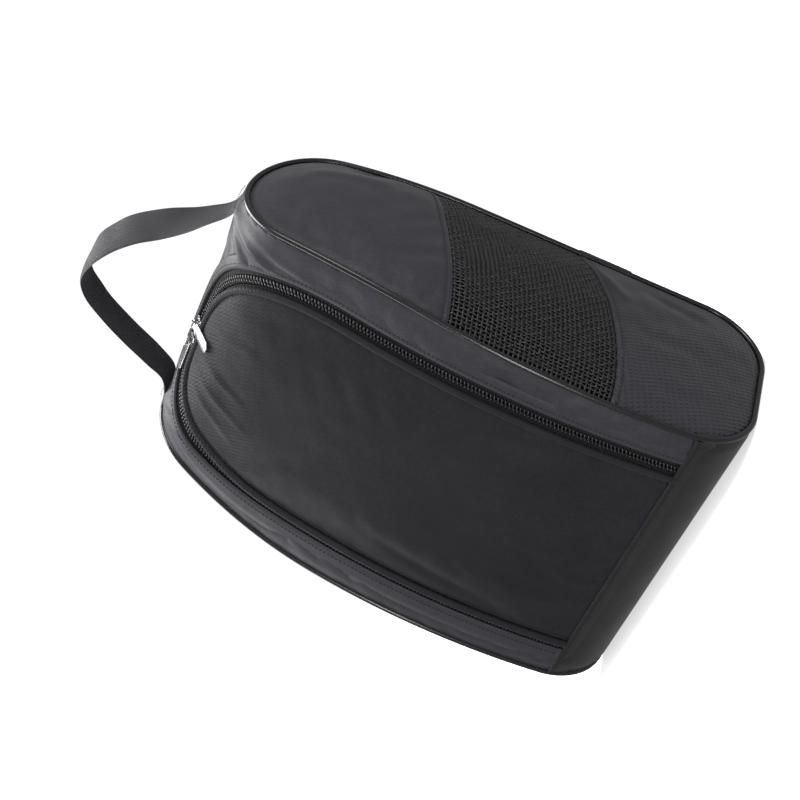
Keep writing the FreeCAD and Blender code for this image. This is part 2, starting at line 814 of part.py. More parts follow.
def block(low, high):
    """A box between two corners, given as sizes."""
    return Part.makeBox(high[0] - low[0], high[1] - low[1], high[2] - low[2], V(*low))


def rounded_plate(length, half_width, bottom, top, corner):
    plate = block((-length / 2, -half_width, bottom), (length / 2, half_width, top))
    upright = [e for e in plate.Edges if abs(e.tangentAt(e.FirstParameter).z) > 0.9]
    return plate.makeFillet(corner, upright)


def slider_shape():
    """Top plate with its bridge, a post between the tooth rows and a keel plate under the door's row."""
    length, half = size("slider_length"), size("slider_half_width")
    top, bottom = size("plate_top"), size("plate_bottom")
    shape = rounded_plate(length, half, bottom, top, 1.6)
    post_x, post_y = size("post_length") / 2, size("post_half_width")
    shape = shape.fuse(block((-post_x, -post_y, size("keel_bottom")), (post_x, post_y, top)))
    keel_low = (-length / 2, -half, size("keel_bottom"))
    shape = shape.fuse(block(keel_low, (length / 2, size("keel_overlap"), size("keel_top"))))
    reach, leg, wide = size("bridge_half_length"), size("bridge_post"), size("bridge_half_width")
    axis, radius = size("bridge_axis"), size("bridge_radius")
    for side in (-1, 1):
        outer, inner = side * reach, side * (reach - leg)
        foot = block((min(outer, inner), -wide, top - 0.2), (max(outer, inner), wide, axis))
        shape = shape.fuse(foot)
    bar = Part.makeCylinder(radius, 2 * reach, V(-reach, 0, axis), V(1, 0, 0))
    return shape.fuse(bar).removeSplitter()


def tab_shape(start):
    """The flat of a pull along +x, from start to its rounded tip."""
    length, half = size("pull_length"), size("pull_width") / 2
    thick = size("pull_thickness") / 2
    plate = block((start, -half, -thick), (length - half, half, thick))
    tip = Part.makeCylinder(half, 2 * thick, V(length - half, 0, -thick))
    return plate.fuse(tip).removeSplitter()


def flat_pull_shape():
    """A pull whose cross bar, at x = 0, passes under the bridge."""
    thick = size("pull_thickness") / 2
    eye_half = size("pull_eye_half_width")
    eye = block((thick, -eye_half, -2 * thick), (size("pull_eye_end"), eye_half, 2 * thick))
    return tab_shape(-thick).cut(eye)


def curled_pull_shape():
    """A pull whose end is curled round the bridge's bar, with the bar along y at x = 0."""
    reach = size("curl_half_length")
    outer = Part.makeCylinder(size("curl_outer"), 2 * reach, V(0, -reach, 0), V(0, 1, 0))
    hole = Part.makeCylinder(size("curl_inner"), 2 * reach + 2, V(0, -reach - 1, 0), V(0, 1, 0))
    thick = size("pull_thickness") / 2
    neck = block((0, -reach, -thick), (size("pull_eye_end") + 1, reach, thick))
    return outer.fuse(neck).fuse(tab_shape(size("pull_eye_end"))).cut(hole).removeSplitter()


def place(name, label, shape, placement):
    made = doc.addObject("Part::Feature", name)
    made.Shape = shape
    made.Placement = placement
    return keep(made, label)


def make_sliders_and_pulls():
    for side, word in ((-1, "left"), (1, "right")):
        place("slider_body_" + word, "slider_" + word, slider_shape(), slider_frame(side))
    along_zip = FreeCAD.Placement(V(0, 0, size("flat_eye_axis")), FreeCAD.Rotation(V(0, 0, 1), 180))
    place("pull_body_left", "pull_left", flat_pull_shape(), slider_frame(-1) * along_zip)
    droop = FreeCAD.Rotation(V(1, 0, 0), size("hanging_pull_drop"))
    down_door = FreeCAD.Placement(V(0, 0, size("bridge_axis")), droop * FreeCAD.Rotation(V(0, 0, 1), -90))
    place("pull_body_right", "pull_right", curled_pull_shape(), slider_frame(1) * down_door)


# ---------------------------------------------------------------- the whole bag

front_solid = extrusion(front_outline, "front_solid", V(0, 1, 0), FAR / 2, FAR / 2)
common("envelope", side_solid("piping_depth"), front_solid)
doc.recompute()
make_end_panels()
make_piping()
make_seam_bindings()
make_base_board()
make_handle()
make_handle_anchors()
make_back_strap()
make_sliders_and_pulls()
doc.recompute()

for made in doc.Objects:
    if "Invalid" in made.State or "Error" in made.State:
        raise RuntimeError(f"{made.Name} failed: {made.State}")
for label, made in nodes.items():
    if made.Shape.isNull() or not made.Shape.isValid():
        raise RuntimeError(f"{label} has no valid shape")

os.makedirs(PARTS_FOLDER, exist_ok=True)
for label, made in nodes.items():
    made.Shape.exportStep(os.path.join(PARTS_FOLDER, label + ".step"))
    print(f"{label}: {len(made.Shape.Solids)} solid, {made.Shape.Volume / 1000:.2f} cm3")
print(len(nodes), "sub-parts")
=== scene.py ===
import math
import random

import bpy
import numpy as np
from mathutils import Matrix, Vector


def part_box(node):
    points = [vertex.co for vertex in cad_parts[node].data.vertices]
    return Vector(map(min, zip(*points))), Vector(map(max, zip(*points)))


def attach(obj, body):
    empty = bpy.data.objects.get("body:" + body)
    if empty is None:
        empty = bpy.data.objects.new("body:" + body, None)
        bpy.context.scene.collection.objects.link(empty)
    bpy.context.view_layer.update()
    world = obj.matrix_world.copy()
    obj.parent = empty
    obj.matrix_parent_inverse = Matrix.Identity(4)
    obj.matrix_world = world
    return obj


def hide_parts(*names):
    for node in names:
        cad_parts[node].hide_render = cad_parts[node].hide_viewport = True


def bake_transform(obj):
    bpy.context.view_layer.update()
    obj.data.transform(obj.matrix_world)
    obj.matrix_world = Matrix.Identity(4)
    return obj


# The looks of a golf shoe bag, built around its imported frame.
# Metres, +Z up, the bag stands on its base, the door faces -Y and +X is the viewer's right.

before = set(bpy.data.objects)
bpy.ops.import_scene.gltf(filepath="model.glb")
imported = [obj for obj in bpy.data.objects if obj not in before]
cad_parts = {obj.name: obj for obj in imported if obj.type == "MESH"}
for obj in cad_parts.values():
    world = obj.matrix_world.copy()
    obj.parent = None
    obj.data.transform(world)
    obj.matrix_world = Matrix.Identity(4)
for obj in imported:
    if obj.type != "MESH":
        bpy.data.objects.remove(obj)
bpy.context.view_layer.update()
MM = 0.001
TURN = 2 * math.pi

# The side outline and the ends, as the frame has them.
BODY_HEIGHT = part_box("piping_right")[1][2]
BASE_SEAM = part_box("base_panel")[1][2]
BACK_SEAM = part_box("back_panel")[1][2]
BASE_FLAT_HALF = 24 * MM
FRONT_RADIUS = 50 * MM
BOW_RADIUS = 520 * MM
TOP_RADIUS = 53 * MM
BACK_RADIUS = 45 * MM
PIPING_RADIUS = 2 * MM
OUTLINE_STEP = 0.5 * MM
HALF_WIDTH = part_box("piping_right")[1][0] - PIPING_RADIUS
SHOULDER_START = 210 * MM
SHOULDER_RADIUS = 475 * MM
END_CROWN = 9 * MM

# The zip line, drawn on a plane that leans back to face the door.
DOOR_TILT = math.radians(23)
LEG_SPREAD = 87 * MM
LEG_FOOT = -70 * MM
ARCH_SHIFT = -13 * MM
ARCH_FLAT_HALF = 14 * MM
ARCH_TOP = 112 * MM
BIG_SHOULDER = 84 * MM
RIGHT_SMALL_SHOULDER = 77 * MM
LEFT_SMALL_SHOULDER = 50 * MM
SLIDER_RUN_HALF = 20 * MM
ZIP_TUCK = 3 * MM

# Fabric and trim.
CLOTH = 1.3 * MM
LIP = 7 * MM
DOOR_EDGE = 8.6 * MM
WEBBING_WIDTH = 25 * MM
WEBBING_THICKNESS = 1.8 * MM
TOOTH_PITCH = 2.5 * MM
TRIM_STEP = 3 * MM
SEAM_INSET = 2.2 * MM
SEAM_OVERLAP = 1.0 * MM
ENDS = ((1, "right"), (-1, "left"))


# ---------------------------------------------------------------- the shape of the bag

def unit(vectors):
    return vectors / np.linalg.norm(vectors, axis=-1, keepdims=True)


def run_along(points):
    """The distance of each point along the line that the points make."""
    return np.concatenate([[0.0], np.cumsum(np.linalg.norm(np.diff(points, axis=0), axis=1))])


def arc_run(centre, radius, first, last):
    """Points and outward normals along an arc."""
    angles = np.linspace(first, last, max(3, int(abs(last - first) * radius / OUTLINE_STEP)))
    normals = np.column_stack([np.cos(angles), np.sin(angles)])
    return np.array(centre) + radius * normals, normals


class SideOutline:
    """The closed outline in the side view, by the distance s from the base's middle, forwards and up."""

    def __init__(self):
        top = np.array([0.0, BODY_HEIGHT - TOP_RADIUS])
        front = np.array([-BASE_FLAT_HALF, FRONT_RADIUS])
        back = np.array([BASE_FLAT_HALF, BACK_RADIUS])
        bow = self.bow_centre(front, top)
        low = math.atan2(*(front - bow)[::-1]) + TURN
        high = math.atan2(*(top - bow)[::-1])
        gap = back - top
        back_heading = math.atan2(gap[1], gap[0]) + math.acos((TOP_RADIUS - BACK_RADIUS) / np.hypot(*gap))
        base_middle = (np.array([[0.0, 0.0]]), np.array([[0.0, -1.0]]))
        runs = [
            base_middle,
            arc_run(front, FRONT_RADIUS, 0.75 * TURN, low),
            arc_run(bow, BOW_RADIUS, low, high),
            arc_run(top, TOP_RADIUS, high, back_heading),
            arc_run(back, BACK_RADIUS, back_heading, -0.25 * TURN),
            base_middle,
        ]
        points = np.vstack([run[0] for run in runs])
        normals = np.vstack([run[1] for run in runs])
        s = run_along(points)
        self.length = s[-1]
        self.s = np.linspace(0.0, self.length, int(self.length / OUTLINE_STEP))
        self.points = np.column_stack([np.interp(self.s, s, column) for column in points.T])
        self.normals = np.column_stack([np.interp(self.s, s, column) for column in normals.T])
        self.peak = int(np.argmax(self.points[:, 1]))

    @staticmethod
    def bow_centre(front, top):
        """The centre of the bow's arc, which is tangent to the front corner's and the top's."""
        d1, d2 = BOW_RADIUS - FRONT_RADIUS, BOW_RADIUS - TOP_RADIUS
        way = top - front
        gap = np.hypot(*way)
        way = way / gap
        near = (d1 * d1 - d2 * d2 + gap * gap) / (2 * gap)
        aside = math.sqrt(d1 * d1 - near * near)
        return front + way * near + np.array([way[1], -way[0]]) * aside

    def at(self, s):
        """y, z and the outward normal's y and z at distances s."""
        s = np.mod(s, self.length)
        return [np.interp(s, self.s, column) for column in (*self.points.T, *self.normals.T)]

    def front_s(self, z):
        return np.interp(z, self.points[: self.peak, 1], self.s[: self.peak])

    def back_s(self, z):
        return np.interp(-np.asarray(z), -self.points[self.peak:, 1], self.s[self.peak:])

    def front_y(self, z):
        return np.interp(z, self.points[: self.peak, 1], self.points[: self.peak, 0])

    def back_y(self, z):
        return np.interp(-np.asarray(z), -self.points[self.peak:, 1], self.points[self.peak:, 0])

    def depth(self, y, z):
        """Distance of points of the side view from the outline, by every sixth point; positive inside."""
        points, normals = self.points[::6], self.normals[::6]
        flat = np.column_stack([np.ravel(y), np.ravel(z)])
        away = np.hypot(flat[:, :1] - points[:, 0], flat[:, 1:] - points[:, 1])
        nearest = np.argmin(away, axis=1)
        return -np.sum((flat - points[nearest]) * normals[nearest], axis=1).reshape(np.shape(y))


outline = SideOutline()


def end_plane(z):
    """Half width of the bag at its piping, at height z."""
    above = np.clip(np.asarray(z, float) - SHOULDER_START, 0.0, None)
    return HALF_WIDTH - (SHOULDER_RADIUS - np.sqrt(SHOULDER_RADIUS ** 2 - above ** 2))


def on_strip(x, s, height):
    """Points on the strip that runs round the bag, raised outwards by height."""
    x, s, height = np.broadcast_arrays(x, s, height)
    y, z, normal_y, normal_z = outline.at(s)
    return np.column_stack([x, y + normal_y * height, z + normal_z * height])


def half_arch(flat_end, small):
    """One side of the zip line in its own plane, from the foot to the flat top, where x is positive."""
    small_centre = np.array([flat_end, ARCH_TOP - small])
    half_way = np.array([math.sqrt(0.5), math.sqrt(0.5)])
    big_centre = small_centre + half_way * (small - BIG_SHOULDER)
    foot = np.array([LEG_SPREAD, LEG_FOOT])
    arm = foot - big_centre
    heading = math.atan2(arm[1], arm[0]) + math.acos(BIG_SHOULDER / np.hypot(*arm))
    leg_top = big_centre + BIG_SHOULDER * np.array([math.cos(heading), math.sin(heading)])
    leg = foot + (leg_top - foot) * np.linspace(0, 1, 400)[:, None]
    big = arc_run(big_centre, BIG_SHOULDER, heading, TURN / 8)[0]
    return np.vstack([leg, big[1:], arc_run(small_centre, small, TURN / 8, TURN / 4)[0][1:]])


class ZipLine:
    """The line between the two rows of teeth, unrolled: x, and distance s round the bag."""

    def __init__(self):
        right = half_arch(ARCH_SHIFT + ARCH_FLAT_HALF, RIGHT_SMALL_SHOULDER)
        left = half_arch(ARCH_FLAT_HALF - ARCH_SHIFT, LEFT_SMALL_SHOULDER)
        line = np.vstack([right, (left * [-1, 1])[::-1]])
        front = outline.points[: outline.peak]
        seen = front[:, 0] * math.cos(DOOR_TILT) + front[:, 1] * math.sin(DOOR_TILT)
        rising = slice(int(np.argmin(seen)), int(np.argmax(seen)) + 1)
        s = np.interp(line[:, 1], seen[rising], outline.s[: outline.peak][rising])
        unrolled = np.column_stack([line[:, 0], s])[s >= outline.front_s(BASE_SEAM) - ZIP_TUCK]
        self.points = resample(unrolled, 1.0 * MM)
        way = unit(np.gradient(self.points, axis=0))
        self.outward = np.column_stack([way[:, 1], -way[:, 0]])
        self.length = 1.0 * MM * (len(self.points) - 1)
        self.run = np.linspace(0, self.length, len(self.points))

    def at(self, run, distance):
        """x and s at a run along the line and a distance from it, positive outwards."""
        point = [np.interp(run, self.run, self.points[:, i]) for i in (0, 1)]
        normal = [np.interp(run, self.run, self.outward[:, i]) for i in (0, 1)]
        return point[0] + normal[0] * distance, point[1] + normal[1] * distance

    def distance(self, x, s):
        """Distance from the line, negative on the door, worked out for a few thousand points at a time."""
        x, s = np.broadcast_arrays(x, s)
        flat = np.column_stack([x.ravel(), s.ravel()])
        points, outward = self.points[::2], self.outward[::2]
        found = []
        for part in np.array_split(flat, len(flat) // 4000 + 1):
            offset = part[:, None, :] - points
            nearest = np.argmin(np.sum(offset ** 2, axis=2), axis=1)
            picked = offset[np.arange(len(part)), nearest]
            normal = outward[nearest]
            along = picked[:, 0] * -normal[:, 1] + picked[:, 1] * normal[:, 0]
            across = np.sum(picked * normal, axis=1)
            ends = (nearest == 0) | (nearest == len(points) - 1)
            size = np.where(ends | (np.abs(along) < 2 * MM), np.abs(across), np.hypot(along, across))
            found.append(np.sign(across) * size)
        return np.concatenate(found).reshape(x.shape)


def resample(points, step):
    """The same polyline with points at even steps."""
    run = run_along(points)
    even = np.linspace(0, run[-1], int(round(run[-1] / step)) + 1)
    return np.column_stack([np.interp(even, run, points[:, i]) for i in (0, 1)])


zip_line = ZipLine()
FRONT_SEAM_S = float(outline.front_s(BASE_SEAM))
BACK_TOP_S = float(outline.back_s(BACK_SEAM))
BACK_LOW_S = float(outline.back_s(BASE_SEAM))
TOP_S = float(outline.s[outline.peak])


# ---------------------------------------------------------------- how the cloth lies

def smooth(value):
    value = np.clip(value, 0.0, 1.0)
    return value * value * (3 - 2 * value)


class Ripple:
    """Soft unevenness: a few sine waves of mixed directions, the same each run."""

    def __init__(self, seed, wavelength, count=7):
        draw = random.Random(seed)
        self.waves = []
        for _ in range(count):
            angle = draw.uniform(0, math.pi)
            number = TURN / (wavelength * draw.uniform(0.7, 1.6))
            self.waves.append((number * math.cos(angle), number * math.sin(angle), draw.uniform(0, TURN)))

    def __call__(self, u, v):
        return sum(np.sin(a * u + b * v + c) for a, b, c in self.waves) / math.sqrt(len(self.waves))


broad_ripple = Ripple(3, 75 * MM)
fine_ripple = Ripple(8, 24 * MM)


def fold(u, v, start, end, width, rise):
    """A ridge from one point to another that fades out at both ends; a negative rise is a crease."""
    way = end - start
    length = np.hypot(*way)
    way = way / length
    along = ((u - start[0]) * way[0] + (v - start[1]) * way[1]) / length
    across = (u - start[0]) * -way[1] + (v - start[1]) * way[0]
    fade = np.where((along > 0) & (along < 1), np.sin(np.pi * np.clip(along, 0, 1)) ** 0.8, 0.0)
    return rise * fade * np.exp(-((across / width) ** 2))


# Folds on the strip as (x, s - top) of their ends, width and rise: gathers at the handle's roots.
TOP_FOLDS = [
    ((84, -8), (62, -62), 4.0, 3.3),
    ((86, -4), (76, -84), 3.4, 3.0),
    ((80, -2), (44, -40), 3.6, 2.3),
    ((88, -18), (88, -118), 3.0, 1.6),
    ((80, 10), (52, 58), 4.5, 1.8),
    ((-84, -8), (-66, -64), 4.0, 2.2),
    ((-86, -6), (-80, -92), 3.2, 1.8),
    ((-80, 8), (-48, 54), 4.5, 1.8),
]

# Folds on the door, as (x, s - top) of their ends, width and rise.
DOOR_FOLDS = [
    ((-34, -38), (-58, -96), 2.6, 1.1),
    ((-24, -38), (-42, -104), 2.4, 1.0),
    ((-12, -38), (-22, -92), 2.4, 0.9),
    ((8, -40), (22, -84), 2.6, 0.9),
    ((26, -42), (48, -92), 3.0, 1.2),
    ((44, -52), (66, -120), 3.4, 1.2),
    ((-70, -300), (-56, -190), 5.0, -1.6),
    ((72, -296), (58, -220), 5.0, -1.3),
    ((-40, -330), (40, -322), 6.0, -1.2),
]


def add_folds(u, v, folds):
    return sum(fold(u, v, np.array(start) * MM, np.array(end) * MM, width * MM, rise * MM)
               for start, end, width, rise in folds)


def strip_height(x, s):
    """How far the gusset, back and base stand out from the even shape."""
    _, z, _, _ = outline.at(s)
    edge = end_plane(z) - 2 * MM - np.abs(x)
    tuck = -1.6 * MM * (1 - smooth(edge / (7 * MM)))
    from_zip = np.clip(zip_line.distance(x, s), 0, None)
    clear = smooth(from_zip / (26 * MM)) * smooth(edge / (24 * MM))
    sag = -2.0 * MM * np.exp(-(((s - TOP_S) / (62 * MM)) ** 2))
    free = smooth((z - 6 * MM) / (30 * MM))
    soft = 0.9 * MM * broad_ripple(x, s) + 0.28 * MM * fine_ripple(x, s)
    held = smooth(from_zip / (14 * MM)) * smooth(edge / (10 * MM))
    loose = free * (0.4 + 0.6 * clear) * soft + add_folds(x, s - TOP_S, TOP_FOLDS)
    return tuck + sag * clear + held * loose


def door_height(x, s):
    """The door is padded, so it stands out from its edge, with a hollow along the foot."""
    inside = -zip_line.distance(x, s) - DOOR_EDGE
    above_seam = s - FRONT_SEAM_S
    held = smooth(inside / (16 * MM)) * smooth(above_seam / (22 * MM))
    crown = 4.2 * MM * smooth(inside / (34 * MM)) * smooth(above_seam / (60 * MM))
    tuck = -1.0 * MM * (1 - smooth(inside / (5 * MM)))
    soft = 0.75 * MM * broad_ripple(x + 0.4, s) + 0.14 * MM * fine_ripple(x + 0.4, s)
    return crown + tuck + held * (soft + add_folds(x, s - TOP_S, DOOR_FOLDS))


def end_crown(y, z):
    """How far the stuffed end panels stand out past the piping."""
    front, back = outline.front_y(z), outline.back_y(z)
    across = np.clip((2 * y - front - back) / np.maximum(back - front, 1 * MM), -1, 1)
    up = np.clip(2 * z / BODY_HEIGHT - 1, -1, 1)
    swell = (1 - across ** 2) * (1 - up ** 4)
    return END_CROWN * 0.5 * (swell + np.sqrt(swell ** 2 + 0.02))


def seam_height(y, back_z, front_z, sag):
    """Height of a sagging seam of the end panel at y."""
    back_y, front_y = 75 * MM, -90 * MM
    share = (back_y - y) / (back_y - front_y)
    return (back_z + (front_z - back_z) * share - 4 * sag * share * (1 - share)) * MM


def upper_seam(y):
    return seam_height(y, 251, 199, 4)


def lower_seam(y):
    return seam_height(y, 148, 91, 14)


# Folds on both ends, as (y, z) of their ends, width and rise.
END_FOLDS = [
    ((18, 322), (34, 262), 5.0, 1.3),
    ((-6, 326), (-14, 268), 5.0, -1.0),
    ((-46, 268), (-20, 214), 5.0, -1.2),
    ((44, 240), (10, 222), 3.6, 1.0),
    ((-64, 192), (-30, 206), 3.4, 1.0),
    ((48, 132), (20, 100), 4.2, 1.3),
    ((-60, 84), (-20, 96), 4.0, 1.2),
    ((-10, 92), (6, 40), 6.0, -1.4),
    ((44, 96), (38, 36), 5.0, -1.2),
    ((-54, 78), (-34, 26), 5.0, -1.2),
]


def end_height(y, z, side):
    """Distance of the right or left end's fabric from the middle of the bag."""
    depth = outline.depth(y, z) - 3 * MM
    tuck = -1.8 * MM * (1 - smooth(depth / (5 * MM)))
    seams = np.minimum(np.abs(z - upper_seam(y)), np.abs(z - lower_seam(y)))
    dip = -1.1 * MM * np.exp(-((seams / (3.2 * MM)) ** 2))
    held = smooth(depth / (14 * MM))
    soft = 1.0 * MM * broad_ripple(y + side * 0.3, z) + 0.25 * MM * fine_ripple(y + side * 0.3, z)
    swell = 1.6 * MM * smooth(depth / (26 * MM))
    even = end_plane(z) + end_crown(y, z) + tuck + dip + swell
    return even + held * (soft + add_folds(y, z, END_FOLDS))


# ---------------------------------------------------------------- mesh helpers

def make_piece(name, points, faces, uvs=None):
    """A mesh object. uvs holds one (u, v) for each point."""
    mesh = bpy.data.meshes.new(name)
    mesh.from_pydata([tuple(p) for p in points], [], [tuple(int(i) for i in f) for f in faces])
    if uvs is not None:
        layer = mesh.uv_layers.new(name="UVMap")
        loops = np.empty(len(mesh.loops), dtype=np.int32)
        mesh.loops.foreach_get("vertex_index", loops)
        layer.data.foreach_set("uv", np.asarray(uvs, np.float32)[loops].ravel())
    mesh.validate()
    mesh.polygons.foreach_set("use_smooth", [True] * len(mesh.polygons))
    piece = bpy.data.objects.new(name, mesh)
    bpy.context.collection.objects.link(piece)
    return piece


def set_all(target, settings):
    for key, value in settings.items():
        setattr(target, key, value)


def bake(piece, modifier):
    """Applies a modifier to the mesh."""
    with bpy.context.temp_override(object=piece, active_object=piece, selected_objects=[piece]):
        bpy.ops.object.modifier_apply(modifier=modifier.name)


def apply_modifier(piece, kind, **settings):
    modifier = piece.modifiers.new(kind.lower(), kind)
    set_all(modifier, settings)
    bake(piece, modifier)


def vertices_of(piece):
    return np.array([v.co[:] for v in piece.data.vertices])


def grid_faces(rows, columns, closed_rows=False, closed_columns=False):
    faces = []
    for i in range(rows if closed_rows else rows - 1):
        for j in range(columns if closed_columns else columns - 1):
            k, m = (i + 1) % rows, (j + 1) % columns
            faces.append((i * columns + j, k * columns + j, k * columns + m, i * columns + m))
    return faces


def tube_faces(rings, sides, first=0, flip=False):
    """Faces of a tube of rings with both ends capped, whose points start at number first."""
    faces = [face[::-1] for face in grid_faces(rings, sides, closed_columns=True)]
    faces += [tuple(range(sides))[::-1], tuple(range((rings - 1) * sides, rings * sides))]
    if flip:
        faces = [face[::-1] for face in faces]
    return [tuple(first + i for i in face) for face in faces]


def clipped_sheet(name, u_range, v_range, step, inside, place, flip=False):
    """A sheet over the part of a flat pattern where inside(u, v) is positive, with its rim on the line."""
    us = np.arange(u_range[0], u_range[1] + step, step)
    vs = np.arange(v_range[0], v_range[1] + step, step)
    u, v = np.meshgrid(us, vs, indexing="ij")
    middle = inside(u[:-1, :-1] + step / 2, v[:-1, :-1] + step / 2) > 0
    index = np.arange(u.size).reshape(u.shape)
    corners = np.stack([index[:-1, :-1], index[1:, :-1], index[1:, 1:], index[:-1, 1:]], axis=-1)
    cells = corners[middle]
    used, faces = np.unique(cells, return_inverse=True)
    faces = faces.reshape(cells.shape)
    flat = np.column_stack([u.ravel()[used], v.ravel()[used]])
    rim = np.bincount(faces.ravel(), minlength=len(used)) < 4
    nudge = 0.05 * MM
    for _ in range(4):
        value = inside(flat[rim, 0], flat[rim, 1])
        slope = np.column_stack([
            inside(flat[rim, 0] + nudge, flat[rim, 1]) - value,
            inside(flat[rim, 0], flat[rim, 1] + nudge) - value,
        ]) / nudge
        size = np.maximum(np.sum(slope ** 2, axis=1), 0.2)
        flat[rim] -= np.clip(slope * (value / size)[:, None], -step, step)
    if flip:
        faces = faces[:, ::-1]
    return make_piece(name, place(flat[:, 0], flat[:, 1]), faces, flat), rim


def strip_along(name, points_of, run, profile, flip=False):
    """A strip with one cross-section, a list of (across, height), along a run of distances."""
    profile = np.array(profile)
    columns = [points_of(run, across, height) for across, height in profile]
    points = np.stack(columns, axis=1).reshape(-1, 3)
    faces = grid_faces(len(run), len(profile), closed_columns=True)
    faces.append(tuple(range(len(profile)))[::-1])
    last = (len(run) - 1) * len(profile)
    faces.append(tuple(last + i for i in range(len(profile))))
    if flip:
        faces = [face[::-1] for face in faces]
    uvs = [(r, w) for r in run for w in run_along(profile)]
    return make_piece(name, points, faces, uvs)


def along_zip(run, across, height):
    """Points beside the zip line."""
    x, s = zip_line.at(run, across)
    return on_strip(x, s, height)


def millimetres(profile, turn=1):
    """A cross-section given in millimetres, in metres, mirrored when turn is -1."""
    return [(turn * across * MM, height * MM) for across, height in profile]


def closed_tube(name, points, radius, sides=12):
    """A round cord along a closed loop of points."""
    way = unit(np.roll(points, -1, axis=0) - np.roll(points, 1, axis=0))
    normal = np.cross(way[0], [0.3, 0.5, 0.8])
    angles = np.linspace(0, TURN, sides, endpoint=False)
    rings = []
    for point, ahead in zip(points, way):
        normal = unit(normal - ahead * np.dot(normal, ahead))
        side = np.cross(ahead, normal)
        rings.append(point + radius * (np.outer(np.cos(angles), normal) + np.outer(np.sin(angles), side)))
    faces = grid_faces(len(points), sides, closed_rows=True, closed_columns=True)
    uvs = [(r, radius * TURN * k / sides) for r in run_along(points) for k in range(sides)]
    return make_piece(name, np.vstack(rings), faces, uvs)


def merge(name, pieces):
    """Joins mesh pieces that have no UVs into one."""
    points, faces = [], []
    for piece in pieces:
        faces += [tuple(len(points) + i for i in p.vertices) for p in piece.data.polygons]
        points += list(vertices_of(piece))
        bpy.data.objects.remove(piece)
    return make_piece(name, points, faces)


# Each ring of a stitch, as its share of the length, its size and its lift in thread radii.
STITCH_RINGS = ((0.0, 0.25, -0.35), (0.2, 0.9, 0.35), (0.8, 0.9, 0.35), (1.0, 0.25, -0.35))
STITCH_SHARE = 0.72
THREAD_RADIUS = 0.28 * MM


def stitch_row(name, points, normals, pitch=3.0 * MM):
    """A row of sewing stitches: short plump threads that lie on the cloth along a line of points."""
    run = run_along(points)
    line = np.column_stack([points, normals]).T
    angles = np.linspace(0, TURN, 6, endpoint=False)
    out, faces = [], []
    for start in np.arange(0.3 * pitch, run[-1] - pitch, pitch):
        here = np.array([np.interp(start, run, column) for column in line])
        there = np.array([np.interp(start + STITCH_SHARE * pitch, run, column) for column in line])
        length = there[:3] - here[:3]
        way = unit(length)
        side = unit(np.cross(way, here[3:]))
        up = np.cross(side, way)
        ring = (np.outer(np.cos(angles), side) + np.outer(np.sin(angles), up)) * THREAD_RADIUS
        faces += tube_faces(len(STITCH_RINGS), len(angles), len(out))
        for share, size, lift in STITCH_RINGS:
            out += list(here[:3] + length * share + up * lift * THREAD_RADIUS + ring * size)
    return make_piece(name, out, faces)


def sew(name, place, run, across, height, body="bag"):
    """A row of stitches along a run of distances, at one distance across and one height of place."""
    line = place(run, across, height)
    row = stitch_row(name, line, place(run, across, height + 1.0) - line)
    if body == "door":
        finish_door_piece(row, "thread")
    else:
        finish_piece(row, "thread")


# ---------------------------------------------------------------- materials

class Nodes:
    """A small helper for building a material's nodes."""

    def __init__(self, name):
        self.material = bpy.data.materials.new(name)
        self.material.use_nodes = True
        self.tree = self.material.node_tree
        self.shader = self.tree.nodes["Principled BSDF"]

    def surface(self, **inputs):
        """Sets the shader's inputs, named with underscores for spaces."""
        for key, value in inputs.items():
            self.feed(self.shader.inputs[key.replace("_", " ")], value)
        return self.material

    def add(self, kind, **inputs):
        node = self.tree.nodes.new(kind)
        for key, value in inputs.items():
            self.feed(node.inputs[key], value)
        return node

    def feed(self, socket, value):
        if hasattr(value, "is_output"):
            self.tree.links.new(value, socket)
        else:
            socket.default_value = value

    def math(self, operation, a, b=0.0, c=0.0):
        node = self.tree.nodes.new("ShaderNodeMath")
        node.operation = operation
        for socket, value in zip(node.inputs, (a, b, c)):
            self.feed(socket, value)
        return node.outputs[0]

    def place(self, kind="Object"):
        return self.add("ShaderNodeTexCoord").outputs[kind]

    def noise(self, scale, detail=3.0, rough=0.5):
        kind, place = "ShaderNodeTexNoise", self.place()
        return self.add(kind, Vector=place, Scale=scale, Detail=detail, Roughness=rough).outputs["Fac"]

    def uv(self):
        parts = self.add("ShaderNodeSeparateXYZ", Vector=self.place("UV"))
        return parts.outputs["X"], parts.outputs["Y"]

    def between(self, factor, low, high):
        """A colour ramp from low to high."""
        ramp = self.add("ShaderNodeValToRGB", Fac=factor)
        for stop, position, color in zip(ramp.color_ramp.elements, (0.3, 0.7), (low, high)):
            stop.position = position
            stop.color = (*color, 1)
        return ramp.outputs["Color"]

    def bump(self, height, distance, **under):
        """Bump of a height; Normal is the bump that it lies on."""
        node = self.add("ShaderNodeBump", Strength=1.0, Distance=distance, Height=height, **under)
        return node.outputs["Normal"]


def tint(color, factor):
    return tuple(min(1.0, c * factor) for c in color)


def weave_height(nodes, pitch):
    """A plain weave, from 0 to 1, over the flat pattern."""
    u, v = nodes.uv()
    warp = nodes.math("SINE", nodes.math("MULTIPLY", u, TURN / pitch))
    weft = nodes.math("SINE", nodes.math("MULTIPLY", v, TURN / pitch))
    return nodes.math("MULTIPLY_ADD", nodes.math("MULTIPLY", warp, weft), 0.5, 0.5)


